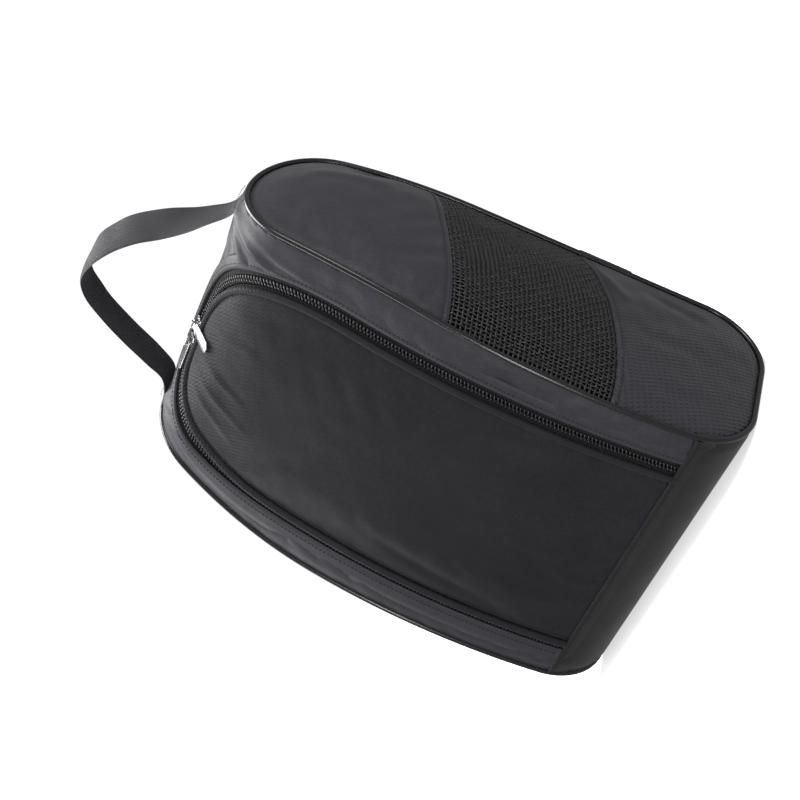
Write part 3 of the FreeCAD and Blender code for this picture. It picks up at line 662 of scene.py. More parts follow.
def dobby_height(nodes, pitch):
    """Small slanted ridges in alternate blocks, as on a dobby weave."""
    u, v = nodes.uv()
    slant = nodes.math("ADD", u, nodes.math("MULTIPLY", v, 0.6))
    other = nodes.math("SUBTRACT", nodes.math("MULTIPLY", u, 0.35), v)
    ridges = nodes.math("SINE", nodes.math("MULTIPLY", slant, TURN / pitch))
    blocks = nodes.math("SINE", nodes.math("MULTIPLY", other, TURN / (1.3 * pitch)))
    raised = nodes.math("MULTIPLY", ridges, nodes.math("MULTIPLY_ADD", blocks, 0.5, 0.5))
    return nodes.math("MULTIPLY_ADD", raised, 0.5, 0.5)


def patch_share(nodes, direction, start, end):
    """From 0 to 1 along a direction through the bag, with an uneven border."""
    product = nodes.tree.nodes.new("ShaderNodeVectorMath")
    product.operation = "DOT_PRODUCT"
    nodes.feed(product.inputs[0], nodes.place())
    product.inputs[1].default_value = direction
    uneven = nodes.math("MULTIPLY_ADD", nodes.noise(26.0), 0.05, -0.025)
    along = nodes.math("ADD", product.outputs["Value"], uneven)
    ramp = nodes.add("ShaderNodeMapRange", **{"Value": along, "From Min": start, "From Max": end})
    return ramp.outputs["Result"]


def fabric(name, color, pitch, depth, roughness, sheen, dobby=None, specular=0.3):
    """Woven cloth: the weave's pitch and depth as bump, with uneven colour and roughness; on dobby, painted
    shade in the grooves and painted highlight on the ridges, by their depth.

    dobby is the pitch and depth of its ridges and, for ridges in one part only, a direction and the two
    distances along it between which they rise from nothing to full.
    """
    nodes = Nodes(name)
    broad = nodes.noise(9.0)
    fine = nodes.noise(420.0, 2.0, 0.6)
    mixed = nodes.math("MULTIPLY_ADD", fine, 0.45, nodes.math("MULTIPLY", broad, 0.55))
    normal = nodes.bump(weave_height(nodes, pitch), depth)
    if dobby:
        dobby_pitch, dobby_depth, *patch = dobby
        ridges = dobby_height(nodes, dobby_pitch)
        if patch:
            ridges = nodes.math("MULTIPLY", ridges, patch_share(nodes, *patch))
        # Painted shade and highlight: the colour darkens in the dobby's grooves and lightens on its ridges,
        # more so the deeper the ridges are.
        relief_shade = dobby_depth / (0.9 * MM)
        mixed = nodes.math("ADD", mixed, nodes.math("MULTIPLY_ADD", ridges, relief_shade, -0.25 * relief_shade))
        normal = nodes.bump(ridges, dobby_depth, Normal=normal)
    return nodes.surface(
        Base_Color=nodes.between(mixed, tint(color, 0.72), tint(color, 1.3)),
        Roughness=nodes.math("MULTIPLY_ADD", nodes.noise(60.0), 0.22, roughness - 0.11),
        Specular_IOR_Level=specular,
        Sheen_Weight=sheen,
        Sheen_Roughness=0.45,
        Normal=nodes.bump(nodes.noise(150.0, 4.0), 0.12 * MM, Normal=normal),
    )


def plastic(name, color, roughness, coat=0.0, grain=0.05 * MM, metallic=0.0, scratch=0.06):
    """Moulded or cast surface with a light grain and small differences in gloss."""
    nodes = Nodes(name)
    return nodes.surface(
        Base_Color=nodes.between(nodes.noise(60.0), tint(color, 0.85), tint(color, 1.15)),
        Roughness=nodes.math("MULTIPLY_ADD", nodes.noise(700.0, 4.0, 0.7), 2 * scratch, roughness - scratch),
        Metallic=metallic,
        Coat_Weight=coat,
        Coat_Roughness=0.2,
        Normal=nodes.bump(nodes.noise(900.0, 3.0), grain),
    )


# The dobby shows on the upper part of the door and the lower front part of the ends.
DOOR_PATCH = ((-0.25, 0.0, 1.0), 0.275, 0.345)
END_PATCH = ((0.0, -1.0, -0.9), -0.12, -0.055)

LOOKS = {
    "nylon": fabric("nylon", (0.027, 0.027, 0.034), 0.9 * MM, 0.05 * MM, 0.50, 0.08, (2.6 * MM, 0.05 * MM)),
    "door": fabric("door_nylon", (0.0205, 0.0190, 0.0235), 0.9 * MM, 0.05 * MM, 0.58, 0.05,
                   (3.2 * MM, 0.5 * MM, *DOOR_PATCH), specular=0.13),
    "dobby": fabric("dobby_nylon", (0.024, 0.024, 0.030), 0.8 * MM, 0.05 * MM, 0.46, 0.08,
                    (3.4 * MM, 0.75 * MM, *END_PATCH)),
    "mesh": fabric("vent_mesh", (0.005, 0.005, 0.0065), 0.5 * MM, 0.04 * MM, 0.28, 0.0, specular=0.55),
    # Near-black and nearly without gloss: painted shade for the dark inside of the bag behind the vent.
    "inside_shade": fabric("inside_shade", (0.003, 0.003, 0.004), 0.8 * MM, 0.04 * MM, 0.9, 0.0, specular=0.02),
    "base": fabric("coated_base", (0.011, 0.011, 0.011), 1.1 * MM, 0.06 * MM, 0.45, 0.03),
    "tape": fabric("zip_tape", (0.008, 0.008, 0.010), 0.7 * MM, 0.08 * MM, 0.7, 0.06),
    "binding": fabric("binding_tape", (0.007, 0.007, 0.009), 0.8 * MM, 0.08 * MM, 0.75, 0.06),
    "webbing": fabric("webbing", (0.014, 0.014, 0.018), 1.5 * MM, 0.26 * MM, 0.6, 0.08),
    "thread": fabric("thread", (0.014, 0.014, 0.016), 0.5 * MM, 0.03 * MM, 0.6, 0.06),
    "piping": plastic("piping_vinyl", (0.003, 0.003, 0.004), 0.26, coat=0.15),
    "coil": plastic("zip_coil", (0.006, 0.006, 0.007), 0.30, coat=0.15),
    "metal": plastic("bright_metal", (0.62, 0.62, 0.63), 0.24, metallic=1.0, grain=0.002 * MM, scratch=0.04),
    "board": plastic("board", (0.04, 0.04, 0.04), 0.6),
}


def finish_piece(piece, look, body="bag", nodes=()):
    """Gives a piece its material, the body it rides on and the CAD nodes that it stands for."""
    piece.data.materials.clear()
    piece.data.materials.append(LOOKS[look])
    if body:
        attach(piece, body)
    if nodes:
        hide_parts(*nodes)


def thicken(piece, thickness):
    """Gives a sheet its thickness, inwards."""
    apply_modifier(piece, "SOLIDIFY", thickness=thickness, offset=-1.0, use_even_offset=False)


def finish_door_piece(piece, look, nodes=()):
    """A piece of the door: it gets its material and no body to ride on, and its place is baked into its
    mesh.
    """
    finish_piece(piece, look, None, nodes)
    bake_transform(piece)


SETTLE_FRAMES = 20
CLOTH_SETTINGS = {
    "vertex_group_mass": "seams", "quality": 5, "mass": 0.25, "tension_stiffness": 25,
    "compression_stiffness": 25, "shear_stiffness": 12, "bending_stiffness": 2.0, "use_pressure": True,
}


def settle(piece, rim, pressure, slack, reach):
    """Cloth simulation of a sewn panel. Its seams are held and the foam behind it pushes it out."""
    start = vertices_of(piece)
    seams = piece.vertex_groups.new(name="seams")
    seams.add([int(i) for i in np.flatnonzero(rim)], 1.0, "REPLACE")
    modifier = piece.modifiers.new("cloth", "CLOTH")
    set_all(modifier.settings, CLOTH_SETTINGS)
    modifier.settings.uniform_pressure_force = pressure
    modifier.settings.shrink_min = -slack
    modifier.settings.effector_weights.gravity = 0.0
    modifier.point_cache.frame_start = 1
    modifier.point_cache.frame_end = SETTLE_FRAMES
    scene = bpy.context.scene
    for number in range(1, SETTLE_FRAMES + 1):
        scene.frame_set(number)
    bake(piece, modifier)
    scene.frame_set(1)
    moved = vertices_of(piece) - start
    size = np.maximum(np.linalg.norm(moved, axis=1), 1e-9)
    moved *= (reach * np.tanh(size / reach) / size)[:, None]
    piece.data.vertices.foreach_set("co", (start + moved).ravel())
    piece.vertex_groups.clear()


def make_panel(name, spans, step, inside, place, push=None, thickness=CLOTH, flip=False):
    """A padded panel, cut to its seams and pushed out from behind; push is the settings for settle."""
    piece, rim = clipped_sheet(name, *spans, step, inside, place, flip)
    if push:
        settle(piece, rim, *push)
    thicken(piece, thickness)
    return piece


# ---------------------------------------------------------------- panels of the strip

STRIP_WIDTH = (-0.116, 0.116)


def strip_edge(x, s):
    """Distance from the end seams, positive towards the middle of the strip."""
    _, z, _, _ = outline.at(s)
    return end_plane(z) - SEAM_INSET + SEAM_OVERLAP - np.abs(x)


def strip_place(x, s):
    return on_strip(x, s, strip_height(x, s))


def make_gusset():
    """Front gusset: the strip from the base seam over the top, with the door's opening."""
    def inside(x, s):
        ends = np.minimum(s - FRONT_SEAM_S + 1 * MM, BACK_TOP_S - s)
        return np.minimum(np.minimum(strip_edge(x, s), zip_line.distance(x, s) - LIP - 2 * MM), ends)

    spans = (STRIP_WIDTH, (FRONT_SEAM_S - 2 * MM, BACK_TOP_S + 2 * MM))
    push = (0.5, 0.002, 2 * MM)
    panel = make_panel("front_gusset_cloth", spans, 2.0 * MM, inside, strip_place, push)
    finish_piece(panel, "nylon", nodes=["front_gusset"])


def make_back():
    def inside(x, s):
        return np.minimum(strip_edge(x, s), np.minimum(s - BACK_TOP_S + 0.3 * MM, BACK_LOW_S - s))

    spans = (STRIP_WIDTH, (BACK_TOP_S, BACK_LOW_S))
    push = (0.8, 0.006, 4 * MM)
    panel = make_panel("back_panel_cloth", spans, 2.5 * MM, inside, strip_place, push)
    finish_piece(panel, "nylon", nodes=["back_panel"])


def make_base():
    """The base panel, which lies flat on the ground under the bag."""
    low = BACK_LOW_S - outline.length

    def inside(x, s):
        return np.minimum(strip_edge(x, s), np.minimum(s - low - 0.3 * MM, FRONT_SEAM_S - s))

    def place(x, s):
        height = strip_height(x, s)
        return on_strip(x, s, np.where(outline.at(s)[1] < 8 * MM, np.minimum(height, 0), height))

    spans = (STRIP_WIDTH, (low, FRONT_SEAM_S))
    panel = make_panel("base_panel_cloth", spans, 2.5 * MM, inside, place, thickness=1.6 * MM)
    finish_piece(panel, "base", nodes=["base_panel"])


def make_door():
    """The padded door panel."""
    def inside(x, s):
        return np.minimum(-zip_line.distance(x, s) - DOOR_EDGE + 1.2 * MM, s - FRONT_SEAM_S - 0.4 * MM)

    def place(x, s):
        return on_strip(x, s, door_height(x, s))

    spans = ((-0.09, 0.09), (FRONT_SEAM_S, float(zip_line.points[:, 1].max())))
    push = (0.8, 0.003, 2 * MM)
    panel = make_panel("door_panel_cloth", spans, 2.0 * MM, inside, place, push, 1.8 * MM)
    finish_door_piece(panel, "door", ["door_panel"])


# ---------------------------------------------------------------- zip

# On the left leg the gusset's lip and the door's welt lean over the teeth and hide them.
LIP_LEAN = -6.2 * MM
WELT_LEAN = 3.0 * MM
LEAN_START = 0.57

# Cross-sections beside the zip line, as (across, height) in millimetres.
LIP_PROFILE = [(16.0, -1.1), (8.2, -1.5), (7.2, -1.2), (6.7, -0.4), (7.1, 0.5), (8.4, 0.95), (10.0, 0.75),
               (12.5, 0.7), (15.0, 0.4), (16.5, -0.5)]
TAPE_PROFILE = [(0.9, -3.0), (0.9, -2.4), (3.0, -2.25), (8.0, -2.0), (15.0, -1.9), (15.0, -2.6)]
WELT_MIDDLE = (-6.9, -0.6)
WELT_RADIUS = 2.4


def leaning(lean):
    """Points beside the zip line for a trim that leans over the teeth on the left leg."""
    def points_of(run, across, height):
        share = smooth((run / zip_line.length - LEAN_START) / 0.12)
        near = smooth((15 * MM - np.abs(across)) / (8 * MM))
        return along_zip(run, across + lean * share * near, height + 0.5 * MM * share * near)
    return points_of


def make_zip_trim():
    """Tapes, the gusset's folded lip and the door's corded welt."""
    run = np.arange(0, zip_line.length, 2.0 * MM)
    piece = strip_along("zip_lip", leaning(LIP_LEAN), run, millimetres(LIP_PROFILE), flip=True)
    finish_piece(piece, "nylon")
    piece = strip_along("zip_tape_bag_cloth", along_zip, run, millimetres(TAPE_PROFILE))
    finish_piece(piece, "tape", nodes=["zip_tape_bag"])
    piece = strip_along("zip_tape_door_cloth", along_zip, run, millimetres(TAPE_PROFILE, -1), flip=True)
    finish_door_piece(piece, "tape", ["zip_tape_door"])
    across, height = WELT_MIDDLE
    welt = [(across + WELT_RADIUS * math.cos(a), height + WELT_RADIUS * math.sin(a))
            for a in np.linspace(0, TURN, 12, endpoint=False)]
    cord = strip_along("door_welt_cord", leaning(WELT_LEAN), run, millimetres(welt))
    finish_door_piece(cord, "door", ["door_welt"])
    sew("lip_stitches", leaning(LIP_LEAN), run, 10.0 * MM, 0.85 * MM)
    sew("tape_stitches_bag", along_zip, run, 4.6 * MM, -2.1 * MM)
    sew("tape_stitches_door", along_zip, run, -4.2 * MM, -2.1 * MM, "door")


# Each ring of a tooth, as its distance across, height and radius in millimetres.
TOOTH_RINGS = [(3.4, -2.3, 0.35), (2.6, -1.5, 0.62), (1.2, -1.05, 0.68), (0.2, -1.25, 0.72),
               (-0.35, -1.9, 0.5)]
TOOTH_SIDES = 6


def tooth_row(name, side):
    """One row of a coil zip: a slanted loop for each turn, its head past the middle line."""
    points, faces = [], []
    first = TOOTH_PITCH * (1.0 if side > 0 else 1.5)
    for middle in np.arange(first, zip_line.length - TOOTH_PITCH, TOOTH_PITCH):
        x, _ = zip_line.at(middle, 0.0)
        parted = 0.3 < middle / zip_line.length < 0.7 and abs(x - ARCH_SHIFT) < SLIDER_RUN_HALF
        faces += tube_faces(len(TOOTH_RINGS), TOOTH_SIDES, len(points), flip=side < 0)
        for across, height, radius in TOOTH_RINGS:
            across += 1.2 if parted else 0.0
            lean = 0.30 * (across - 1.5) * side
            for angle in np.linspace(0, TURN, TOOTH_SIDES, endpoint=False):
                run = middle + (lean + 1.15 * radius * math.cos(angle)) * MM
                points.append((run, side * across * MM, (height + radius * math.sin(angle)) * MM))
    return make_piece(name, along_zip(*np.array(points).T), faces)


def make_teeth():
    finish_piece(tooth_row("zip_coil_bag", 1), "coil", nodes=["zip_teeth_bag"])
    finish_door_piece(tooth_row("zip_coil_door", -1), "coil", ["zip_teeth_door"])


# ---------------------------------------------------------------- ends

def end_place(side):
    def place(y, z):
        return np.column_stack([side * end_height(y, z, side), y, z])
    return place


def end_panels(side, word):
    """Upper nylon and lower dobby panel of one end, and behind the vent between them a near-black, dull
    sheet: painted shade for the bag's dark inside seen through the vent's gaps.
    """
    place = end_place(side)
    spans = ((-0.10, 0.10), (0.0, BODY_HEIGHT))

    def upper(y, z):
        return np.minimum(outline.depth(y, z) - 3.0 * MM, z - upper_seam(y))

    def lower(y, z):
        return np.minimum(outline.depth(y, z) - 3.0 * MM, lower_seam(y) - z)

    def vent(y, z):
        return np.minimum(outline.depth(y, z) - 3.0 * MM, np.minimum(upper_seam(y) - z, z - lower_seam(y)))

    def behind(y, z):
        return place(y, z) - np.array([side * 1.9 * MM, 0, 0])

    for part, inside, look, slot in (
        ("upper", upper, "nylon", "nylon"),
        ("lower", lower, "dobby", "dobby_nylon"),
    ):
        name = f"end_{part}_{word}_cloth"
        push = (side * 0.8, 0.004, 2.5 * MM)
        panel = make_panel(name, spans, 2.0 * MM, inside, place, push, flip=side < 0)
        finish_piece(panel, look, nodes=[f"end_panel_{part}_{word}"])
    # A dark sheet just behind the vent: painted shade for the inside of the bag seen through the gaps.
    piece, _ = clipped_sheet(f"vent_lining_{word}", *spans, 3.0 * MM, vent, behind, flip=side < 0)
    thicken(piece, 0.8 * MM)
    finish_piece(piece, "inside_shade")


def vent_weave(side, word):
    """The vent's yarns, woven over and under each other: ribs along the seams and thinner ties across."""
    rib_pitch, tie_pitch = 3.0 * MM, 2.7 * MM
    ribs = int(round(105 * MM / rib_pitch))
    angles = np.linspace(0, TURN, 5, endpoint=False)
    out_of_end = np.array([side, 0.0, 0.0])
    points, faces = [], []

    def add_yarn(y, z, row, wave, radius, flat):
        """A yarn of the row's number; wave is its rise over the crossing yarns."""
        keep = outline.depth(y, z) > 2.5 * MM
        if keep.sum() < 3:
            return
        number = np.arange(len(y))
        lift = wave * np.cos(np.pi * (number / 2 + row)) * (number % 2 == 0)
        middle = end_place(side)(y[keep], z[keep]) + out_of_end * (lift[keep, None] - 0.9 * MM)
        way = unit(np.gradient(middle, axis=0))
        out = unit(out_of_end - way * (way[:, :1] * side))
        across = np.cross(way, out)
        rings = [middle + (out * math.sin(a) * flat + across * math.cos(a)) * radius for a in angles]
        faces.extend(tube_faces(len(middle), len(angles), len(points), flip=True))
        points.extend(np.stack(rings, axis=1).reshape(-1, 3))

    y = np.arange(78 * MM, -92 * MM, -0.5 * tie_pitch)
    for k in range(ribs + 1):
        z = lower_seam(y) + (upper_seam(y) - lower_seam(y)) * k / ribs
        add_yarn(y, z, k, 0.42 * MM, 1.0 * MM, 0.62)
    shares = np.arange(0, ribs + 0.25, 0.5) / ribs
    for k, y in enumerate(np.arange(78 * MM, -92 * MM, -tie_pitch)):
        z = lower_seam(y) + (upper_seam(y) - lower_seam(y)) * shares
        add_yarn(np.full_like(z, y), z, k, -0.42 * MM, 0.75 * MM, 0.7)
    piece = make_piece(f"vent_weave_{word}", points, faces, np.array(points)[:, 1:])
    finish_piece(piece, "mesh", nodes=[f"end_mesh_vent_{word}"])


VENT_SEAM_PROFILE = [(-1.6, -0.6), (-1.4, 0.5), (-0.6, 1.0), (0.6, 1.15), (2.2, 0.75), (3.2, -0.4)]


def end_seams(side, word):
    """A narrow bound edge and a row of stitches along the two seams of the vent."""
    for part, seam, turn, look in (("upper", upper_seam, 1, "nylon"), ("lower", lower_seam, -1, "dobby")):
        def points_of(run, across, height):
            return end_place(side)(run, seam(run) + turn * across) + [[side * height, 0.0, 0.0]]

        y = np.arange(78 * MM, -88 * MM, -2.0 * MM)
        y = y[outline.depth(y, seam(y)) > 2.5 * MM]
        profile = millimetres(VENT_SEAM_PROFILE)
        strip = strip_along(f"vent_seam_{part}_{word}", points_of, y, profile, flip=side * turn < 0)
        finish_piece(strip, look)
        sew(f"vent_stitches_{part}_{word}", points_of, y, 2.2 * MM, 0.8 * MM)


def make_piping():
    s = np.arange(0, outline.length - 0.5 * TRIM_STEP, TRIM_STEP)
    y, z, normal_y, normal_z = outline.at(s)
    y, z = y - normal_y * PIPING_RADIUS, z - normal_z * PIPING_RADIUS
    for side, word in ENDS:
        points = np.column_stack([side * end_plane(z), y, z])
        cord = closed_tube(f"piping_{word}_cord", points, PIPING_RADIUS)
        finish_piece(cord, "piping", nodes=[f"piping_{word}"])


# ---------------------------------------------------------------- handle and strap

# The loop's middle line, as (x, z) in millimetres.
HANDLE_ROUTE = [
    (92.6, 349.0), (83, 350.6), (74.5, 353.5), (65, 360.5), (51, 374.5), (38, 391.5), (26, 406.5),
    (11, 419.5), (-7, 428.0), (-23, 429.6), (-36.5, 421.5), (-48, 404.5), (-57, 386.5), (-65, 368.5),
    (-73, 355.5), (-83, 350.6), (-92.6, 349.0),
]
ROUTE_STEP = 1.5 * MM

# Heights where the loop leaves the bag, is pinched and opens out.
LOOP_LEAVES = 351 * MM
LOOP_PINCH = 356 * MM
LOOP_OPENS = 372 * MM

# The right leg of the handle is turned a little about its own length, so its outer face shows.
HANDLE_TWIST = math.radians(26)


def smooth_route(points, per_span=10):
    """A smooth line through a few points."""
    points = np.array(points, float) * MM
    padded = np.vstack([2 * points[0] - points[1], points, 2 * points[-1] - points[-2]])
    out = []
    for i in range(1, len(padded) - 2):
        a, b, c, d = padded[i - 1: i + 3]
        square, cube = 2 * a - 5 * b + 4 * c - d, 3 * b - a - 3 * c + d
        for t in np.linspace(0, 1, per_span, endpoint=False):
            out.append(0.5 * (2 * b + (c - a) * t + square * t ** 2 + cube * t ** 3))
    out.append(points[-1])
    return resample(np.array(out), ROUTE_STEP)


def webbing_section(ribs, wide):
    """The cross-section's outline, across and thickness: ribs with rounded edges, its upper face first."""
    across = np.linspace(-1, 1, ribs * 4 + 1)
    body = np.sqrt(np.clip(1 - np.abs(across) ** 14, 0, 1))
    rib = 0.86 + 0.14 * np.cos(across * ribs * math.pi)
    upper = np.column_stack([across * wide / 2, body * rib * WEBBING_THICKNESS / 2])
    return np.vstack([upper, (upper * [1, -1])[::-1]]).T


def make_handle():
    """The loop: flat on the bag at both ends, cupped and a little wavy at its top."""
    route = smooth_route(HANDLE_ROUTE)
    way = unit(np.gradient(route, axis=0))
    across, thick = webbing_section(9, WEBBING_WIDTH)
    lower_face = np.arange(len(across)) >= len(across) // 2
    points, uvs = [], []
    for i, (x, z) in enumerate(route):
        over_bag = 1 - smooth((z - LOOP_LEAVES) / (16 * MM))
        loop = smooth((z - LOOP_OPENS) / (50 * MM))
        pinch = 1.0 - 0.10 * math.exp(-(((z - LOOP_PINCH) / (8 * MM)) ** 2))
        twist = HANDLE_TWIST * smooth((z - LOOP_PINCH) / (40 * MM)) * smooth((x + 40 * MM) / (60 * MM))
        crease = 0.6 * MM * math.sin(i * ROUTE_STEP / (4.6 * MM)) * loop ** 4
        drop = over_bag * (TOP_RADIUS - np.sqrt(TOP_RADIUS ** 2 - across ** 2))
        cup = loop * 1.2 * MM * (across / (0.5 * WEBBING_WIDTH)) ** 2
        height = thick - drop - cup + crease * (across / WEBBING_WIDTH + 0.5)
        lift = height * math.cos(twist) + across * math.sin(twist)
        wide = across * pinch * math.cos(twist) - height * math.sin(twist)
        points.append(np.column_stack([x + way[i, 1] * lift, wide, z - way[i, 0] * lift]))
        uvs.append(np.column_stack([np.full_like(across, i * ROUTE_STEP), across + 0.1 * lower_face]))
    faces = tube_faces(len(route), len(across))
    piece = make_piece("handle_strap", np.vstack(points), faces, np.vstack(uvs))
    nodes = ["handle_webbing", "handle_anchor_left", "handle_anchor_right"]
    finish_piece(piece, "webbing", None, nodes)
    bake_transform(piece)
    y = np.linspace(-10.5 * MM, 10.5 * MM, 24)
    z = BODY_HEIGHT - TOP_RADIUS + np.sqrt((TOP_RADIUS + 2.2 * MM) ** 2 - y ** 2)
    upwards = np.tile([0.0, 0.0, 1.0], (len(y), 1))
    for side, word in ENDS:
        for k, x in enumerate((80.0 * MM, 87.0 * MM)):
            line = np.column_stack([np.full_like(y, side * x), y, z])
            row = stitch_row(f"handle_stitches_{word}_{k}", line, upwards, 2.6 * MM)
            finish_piece(row, "thread")


def make_back_strap():
    """Webbing across the back from side seam to side seam, its ends held by boxed stitches."""
    low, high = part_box("back_strap")[0][2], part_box("back_strap")[1][2]
    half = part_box("back_strap")[1][0]
    s_middle = float(outline.back_s(0.5 * (low + high)))
    across, thick = webbing_section(13, high - low)
    reach = half + 2.8 * MM
    x = np.linspace(-reach, reach, 151)
    lift = 3.6 * MM + 0.8 * MM * smooth((half - np.abs(x) - 4 * MM) / (12 * MM))
    lift = lift - 1.6 * MM * np.exp(-(((half - np.abs(x) - 9 * MM) / (6 * MM)) ** 2))
    lift = lift * (0.4 + 0.6 * smooth((reach - np.abs(x)) / (1.6 * MM)))
    lift = lift + 0.5 * MM * broad_ripple(x, 0 * x)
    u, v = (grid.ravel() for grid in np.meshgrid(x, across, indexing="ij"))
    points = on_strip(u, s_middle + v, (lift[:, None] + thick).ravel())
    faces = tube_faces(len(x), len(across))
    piece = make_piece("back_strap_webbing", points, faces, np.column_stack([u, v]))
    finish_piece(piece, "webbing", nodes=["back_strap"])
    top, bottom = s_middle - (high - low) / 2 + 2.5 * MM, s_middle + (high - low) / 2 - 2.5 * MM
    for side, word in ENDS:
        outer, inner = side * (half - 4 * MM), side * (half - 14 * MM)
        corners = [(outer, top), (outer, bottom), (inner, bottom), (inner, top), (outer, top),
                   (inner, bottom)]
        rows = []
        for a, b in [*zip(corners, corners[1:]), ((inner, top), (outer, bottom))]:
            xs, ss = np.linspace(a, b, 12).T
            height = np.interp(xs, x, lift) + 0.95 * MM
            line = on_strip(xs, ss, height)
            rows.append(stitch_row("strap_row", line, on_strip(xs, ss, height + 1.0) - line, 2.4 * MM))
        finish_piece(merge(f"strap_stitches_{word}", rows), "thread")


# ---------------------------------------------------------------- inside and trim

def make_inside():
    """The tape that binds each end seam, and the board's material."""
    s = np.arange(0, outline.length - 0.5 * TRIM_STEP, TRIM_STEP)
    half = end_plane(outline.at(s)[1]) - SEAM_INSET
    profile = millimetres([(0.0, -3.4), (-12.0, -3.4), (-12.0, -4.3), (0.0, -4.3)])
    for side, word in ENDS:
        corners = [on_strip(side * (half + across), s, height) for across, height in profile]
        faces = grid_faces(len(s), len(profile), closed_rows=True, closed_columns=True)
        if side < 0:
            faces = [face[::-1] for face in faces]
        uvs = [(r, across) for r in s for across, _ in profile]
        piece = make_piece(f"seam_binding_{word}_tape", np.stack(corners, axis=1).reshape(-1, 3), faces, uvs)
        finish_piece(piece, "binding", nodes=[f"seam_binding_{word}"])
    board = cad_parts["base_board"]
    board.data.materials.clear()
    board.data.materials.append(LOOKS["board"])


BASE_FOLD_PROFILE = [(-0.6, -0.9), (-0.9, 0.2), (-0.3, 0.95), (1.2, 1.2), (4.0, 0.85), (9.0, 0.1),
                     (15.0, -0.6), (15.0, -1.2)]
BACK_FOLD_PROFILE = [(-0.3, -0.9), (-0.5, 0.1), (0.2, 0.8), (1.4, 0.95), (4.0, 0.6), (7.0, 0.1), (7.0, -1.0)]


def make_cross_seams():
    """The folded edges and stitches across the bag: the base's two seams and the gusset's back end."""
    for word, s_seam, z_seam, way, profile, look, slot in (
        ("base_front", FRONT_SEAM_S, BASE_SEAM, -1, BASE_FOLD_PROFILE, "base", "coated_base"),
        ("base_back", BACK_LOW_S, BASE_SEAM, 1, BASE_FOLD_PROFILE, "base", "coated_base"),
        ("back_upper", BACK_TOP_S, BACK_SEAM, -1, BACK_FOLD_PROFILE, "nylon", "nylon"),
    ):
        half = float(end_plane(z_seam)) - 1.2 * MM

        def points_of(run, across, height):
            ends = 0.9 * MM * (1 - smooth((half - np.abs(run)) / (6 * MM)))
            return on_strip(run, s_seam + way * across, height - ends)

        x = np.linspace(-half, half, 80)
        strip = strip_along(f"{word}_fold", points_of, x, millimetres(profile), flip=way < 0)
        finish_piece(strip, look)
        sew(f"{word}_stitches", points_of, x, 2.6 * MM, profile[3][1] * MM)


def crown_pull(piece):
    """Bows the hanging pull across its width and along its length, as a die-cast tab is."""
    low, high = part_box("pull_right")
    points = vertices_of(piece)
    middle, half = 0.5 * (low[0] + high[0]), 0.5 * (high[0] - low[0])
    across = np.clip((points[:, 0] - middle) / half, -1, 1)
    down = np.clip((high[2] - points[:, 2]) / (high[2] - low[2]), 0, 1)
    points[:, 1] -= smooth((down - 0.2) / 0.3) * (0.9 * MM * (1 - across ** 2) + 1.4 * MM * down ** 3)
    piece.data.vertices.foreach_set("co", points.ravel())
    piece.data.update()


def make_metal():
    """Sliders and pulls: die-cast shapes with their edges rounded off, and the right pull's faces slightly
    crowned.
    """
    for node in ("slider_left", "slider_right", "pull_left", "pull_right"):
        piece = bpy.data.objects.new(f"{node}_cast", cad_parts[node].data.copy())
        bpy.context.collection.objects.link(piece)
        apply_modifier(piece, "REMESH", mode="VOXEL", voxel_size=0.2 * MM, use_smooth_shade=True)
        apply_modifier(piece, "SMOOTH", factor=0.6, iterations=22 if node.startswith("pull") else 10)
        if node == "pull_right":
            crown_pull(piece)
        finish_piece(piece, "metal", node, [node])


# ---------------------------------------------------------------- camera, light and floor

CAMERA_AZIMUTH = math.radians(37.8)
CAMERA_ELEVATION = math.radians(3.3)
CAMERA_ROLL = math.radians(65.0)
CAMERA_DISTANCE = 1.2919
CAMERA_TARGET = np.array([0.0, 0.005, 0.175])
CAMERA_LENS = 87.3
CAMERA_SHIFT = (-0.05775, 0.0025)
BACKDROP_LIGHT = 1.05
ROOM_LIGHT = 0.44
FLOOR_HALF = 6.0
FLOOR_GLOW = 0.6


def make_camera():
    """The photo's view, which is rolled on its side."""
    az, el, roll = CAMERA_AZIMUTH, CAMERA_ELEVATION, CAMERA_ROLL
    back = np.array([math.sin(az) * math.cos(el), -math.cos(az) * math.cos(el), math.sin(el)])
    right = np.array([math.cos(az), math.sin(az), 0.0])
    up = np.cross(back, right)
    across = math.cos(roll) * right - math.sin(roll) * up
    upwards = math.sin(roll) * right + math.cos(roll) * up
    data = bpy.data.cameras.new("camera")
    data.lens = CAMERA_LENS
    data.sensor_width = 36.0
    data.shift_x, data.shift_y = CAMERA_SHIFT
    camera = bpy.data.objects.new("camera", data)
    columns = np.column_stack([across, upwards, back, CAMERA_TARGET + back * CAMERA_DISTANCE])
    camera.matrix_world = Matrix([*columns.tolist(), (0, 0, 0, 1)])
    bpy.context.collection.objects.link(camera)
    bpy.context.scene.camera = camera


def area_light(name, place, target, size, power):
    data = bpy.data.lights.new(name, "AREA")
    data.shape = "RECTANGLE"
    data.size, data.size_y = size
    data.energy = power
    light = bpy.data.objects.new(name, data)
    light.location = place
    light.rotation_euler = (Vector(target) - Vector(place)).to_track_quat("-Z", "Y").to_euler()
    bpy.context.collection.objects.link(light)


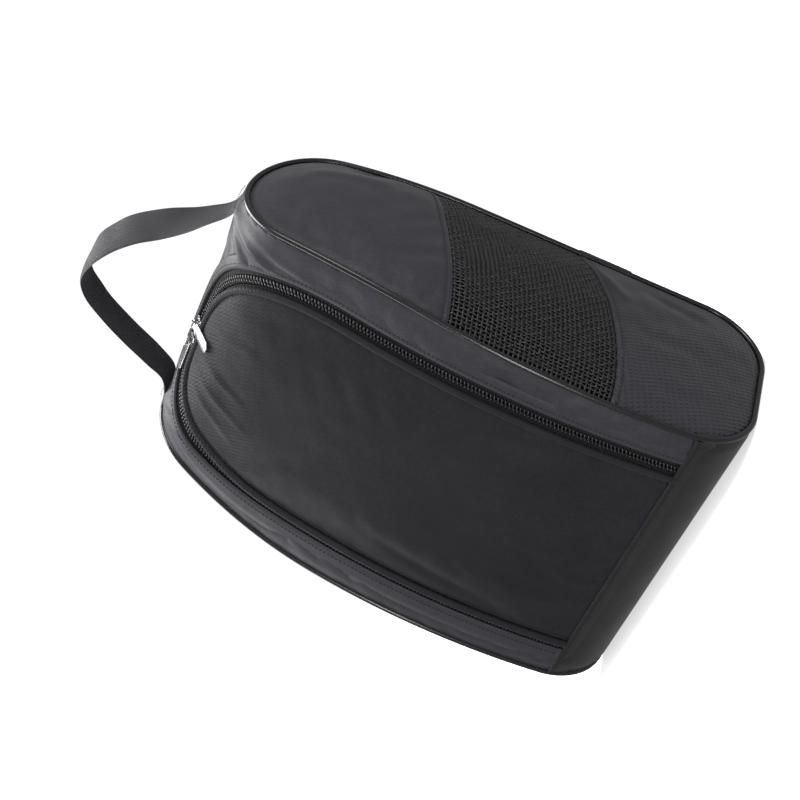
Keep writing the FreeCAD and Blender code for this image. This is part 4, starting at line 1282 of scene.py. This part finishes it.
def make_world():
    """A white backdrop for the camera, which lights the bag at less than half of that."""
    world = bpy.data.worlds.new("studio")
    bpy.context.scene.world = world
    world.use_nodes = True
    background = world.node_tree.nodes["Background"]
    background.inputs["Color"].default_value = (1, 1, 1, 1)
    seen = world.node_tree.nodes.new("ShaderNodeLightPath").outputs["Is Camera Ray"]
    strength = world.node_tree.nodes.new("ShaderNodeMapRange")
    strength.inputs["To Min"].default_value = ROOM_LIGHT
    strength.inputs["To Max"].default_value = BACKDROP_LIGHT
    world.node_tree.links.new(seen, strength.inputs["Value"])
    world.node_tree.links.new(strength.outputs["Result"], background.inputs["Strength"])


def make_floor():
    """A white floor that takes shadows and throws no light back at the bag."""
    corners = [(-1, -1), (1, -1), (1, 1), (-1, 1)]
    floor = make_piece("floor", [(x * FLOOR_HALF, y * FLOOR_HALF, 0) for x, y in corners], [(0, 1, 2, 3)])
    nodes = Nodes("floor")
    material = nodes.surface(
        Base_Color=nodes.between(nodes.noise(2.0), (0.93, 0.93, 0.93), (0.95, 0.95, 0.95)),
        Roughness=0.9,
        Specular_IOR_Level=0.0,
        Emission_Color=(1, 1, 1, 1),
        Emission_Strength=FLOOR_GLOW,
    )
    floor.data.materials.append(material)
    floor.visible_diffuse = False
    floor.visible_glossy = False


def make_studio():
    bpy.context.scene.view_settings.view_transform = "Standard"
    make_world()
    make_floor()
    area_light("top", (-0.5, 0.15, 1.7), (0.0, 0.0, 0.3), (1.3, 1.0), 42)
    area_light("side", (1.6, -0.2, 1.3), (0.1, 0.0, 0.3), (0.8, 1.0), 16)
    area_light("left", (-1.8, -0.4, 0.8), (0.0, 0.0, 0.25), (1.0, 1.0), 13)
    area_light("low", (0.5, -1.5, 0.12), (0.0, 0.0, 0.05), (1.2, 0.2), 11)


make_camera()
make_gusset()
make_back()
make_base()
make_door()
make_zip_trim()
make_teeth()
for end_side, end_word in ENDS:
    end_panels(end_side, end_word)
    vent_weave(end_side, end_word)
    end_seams(end_side, end_word)
make_piping()
make_handle()
make_back_strap()
make_cross_seams()
make_inside()
make_metal()
make_studio()
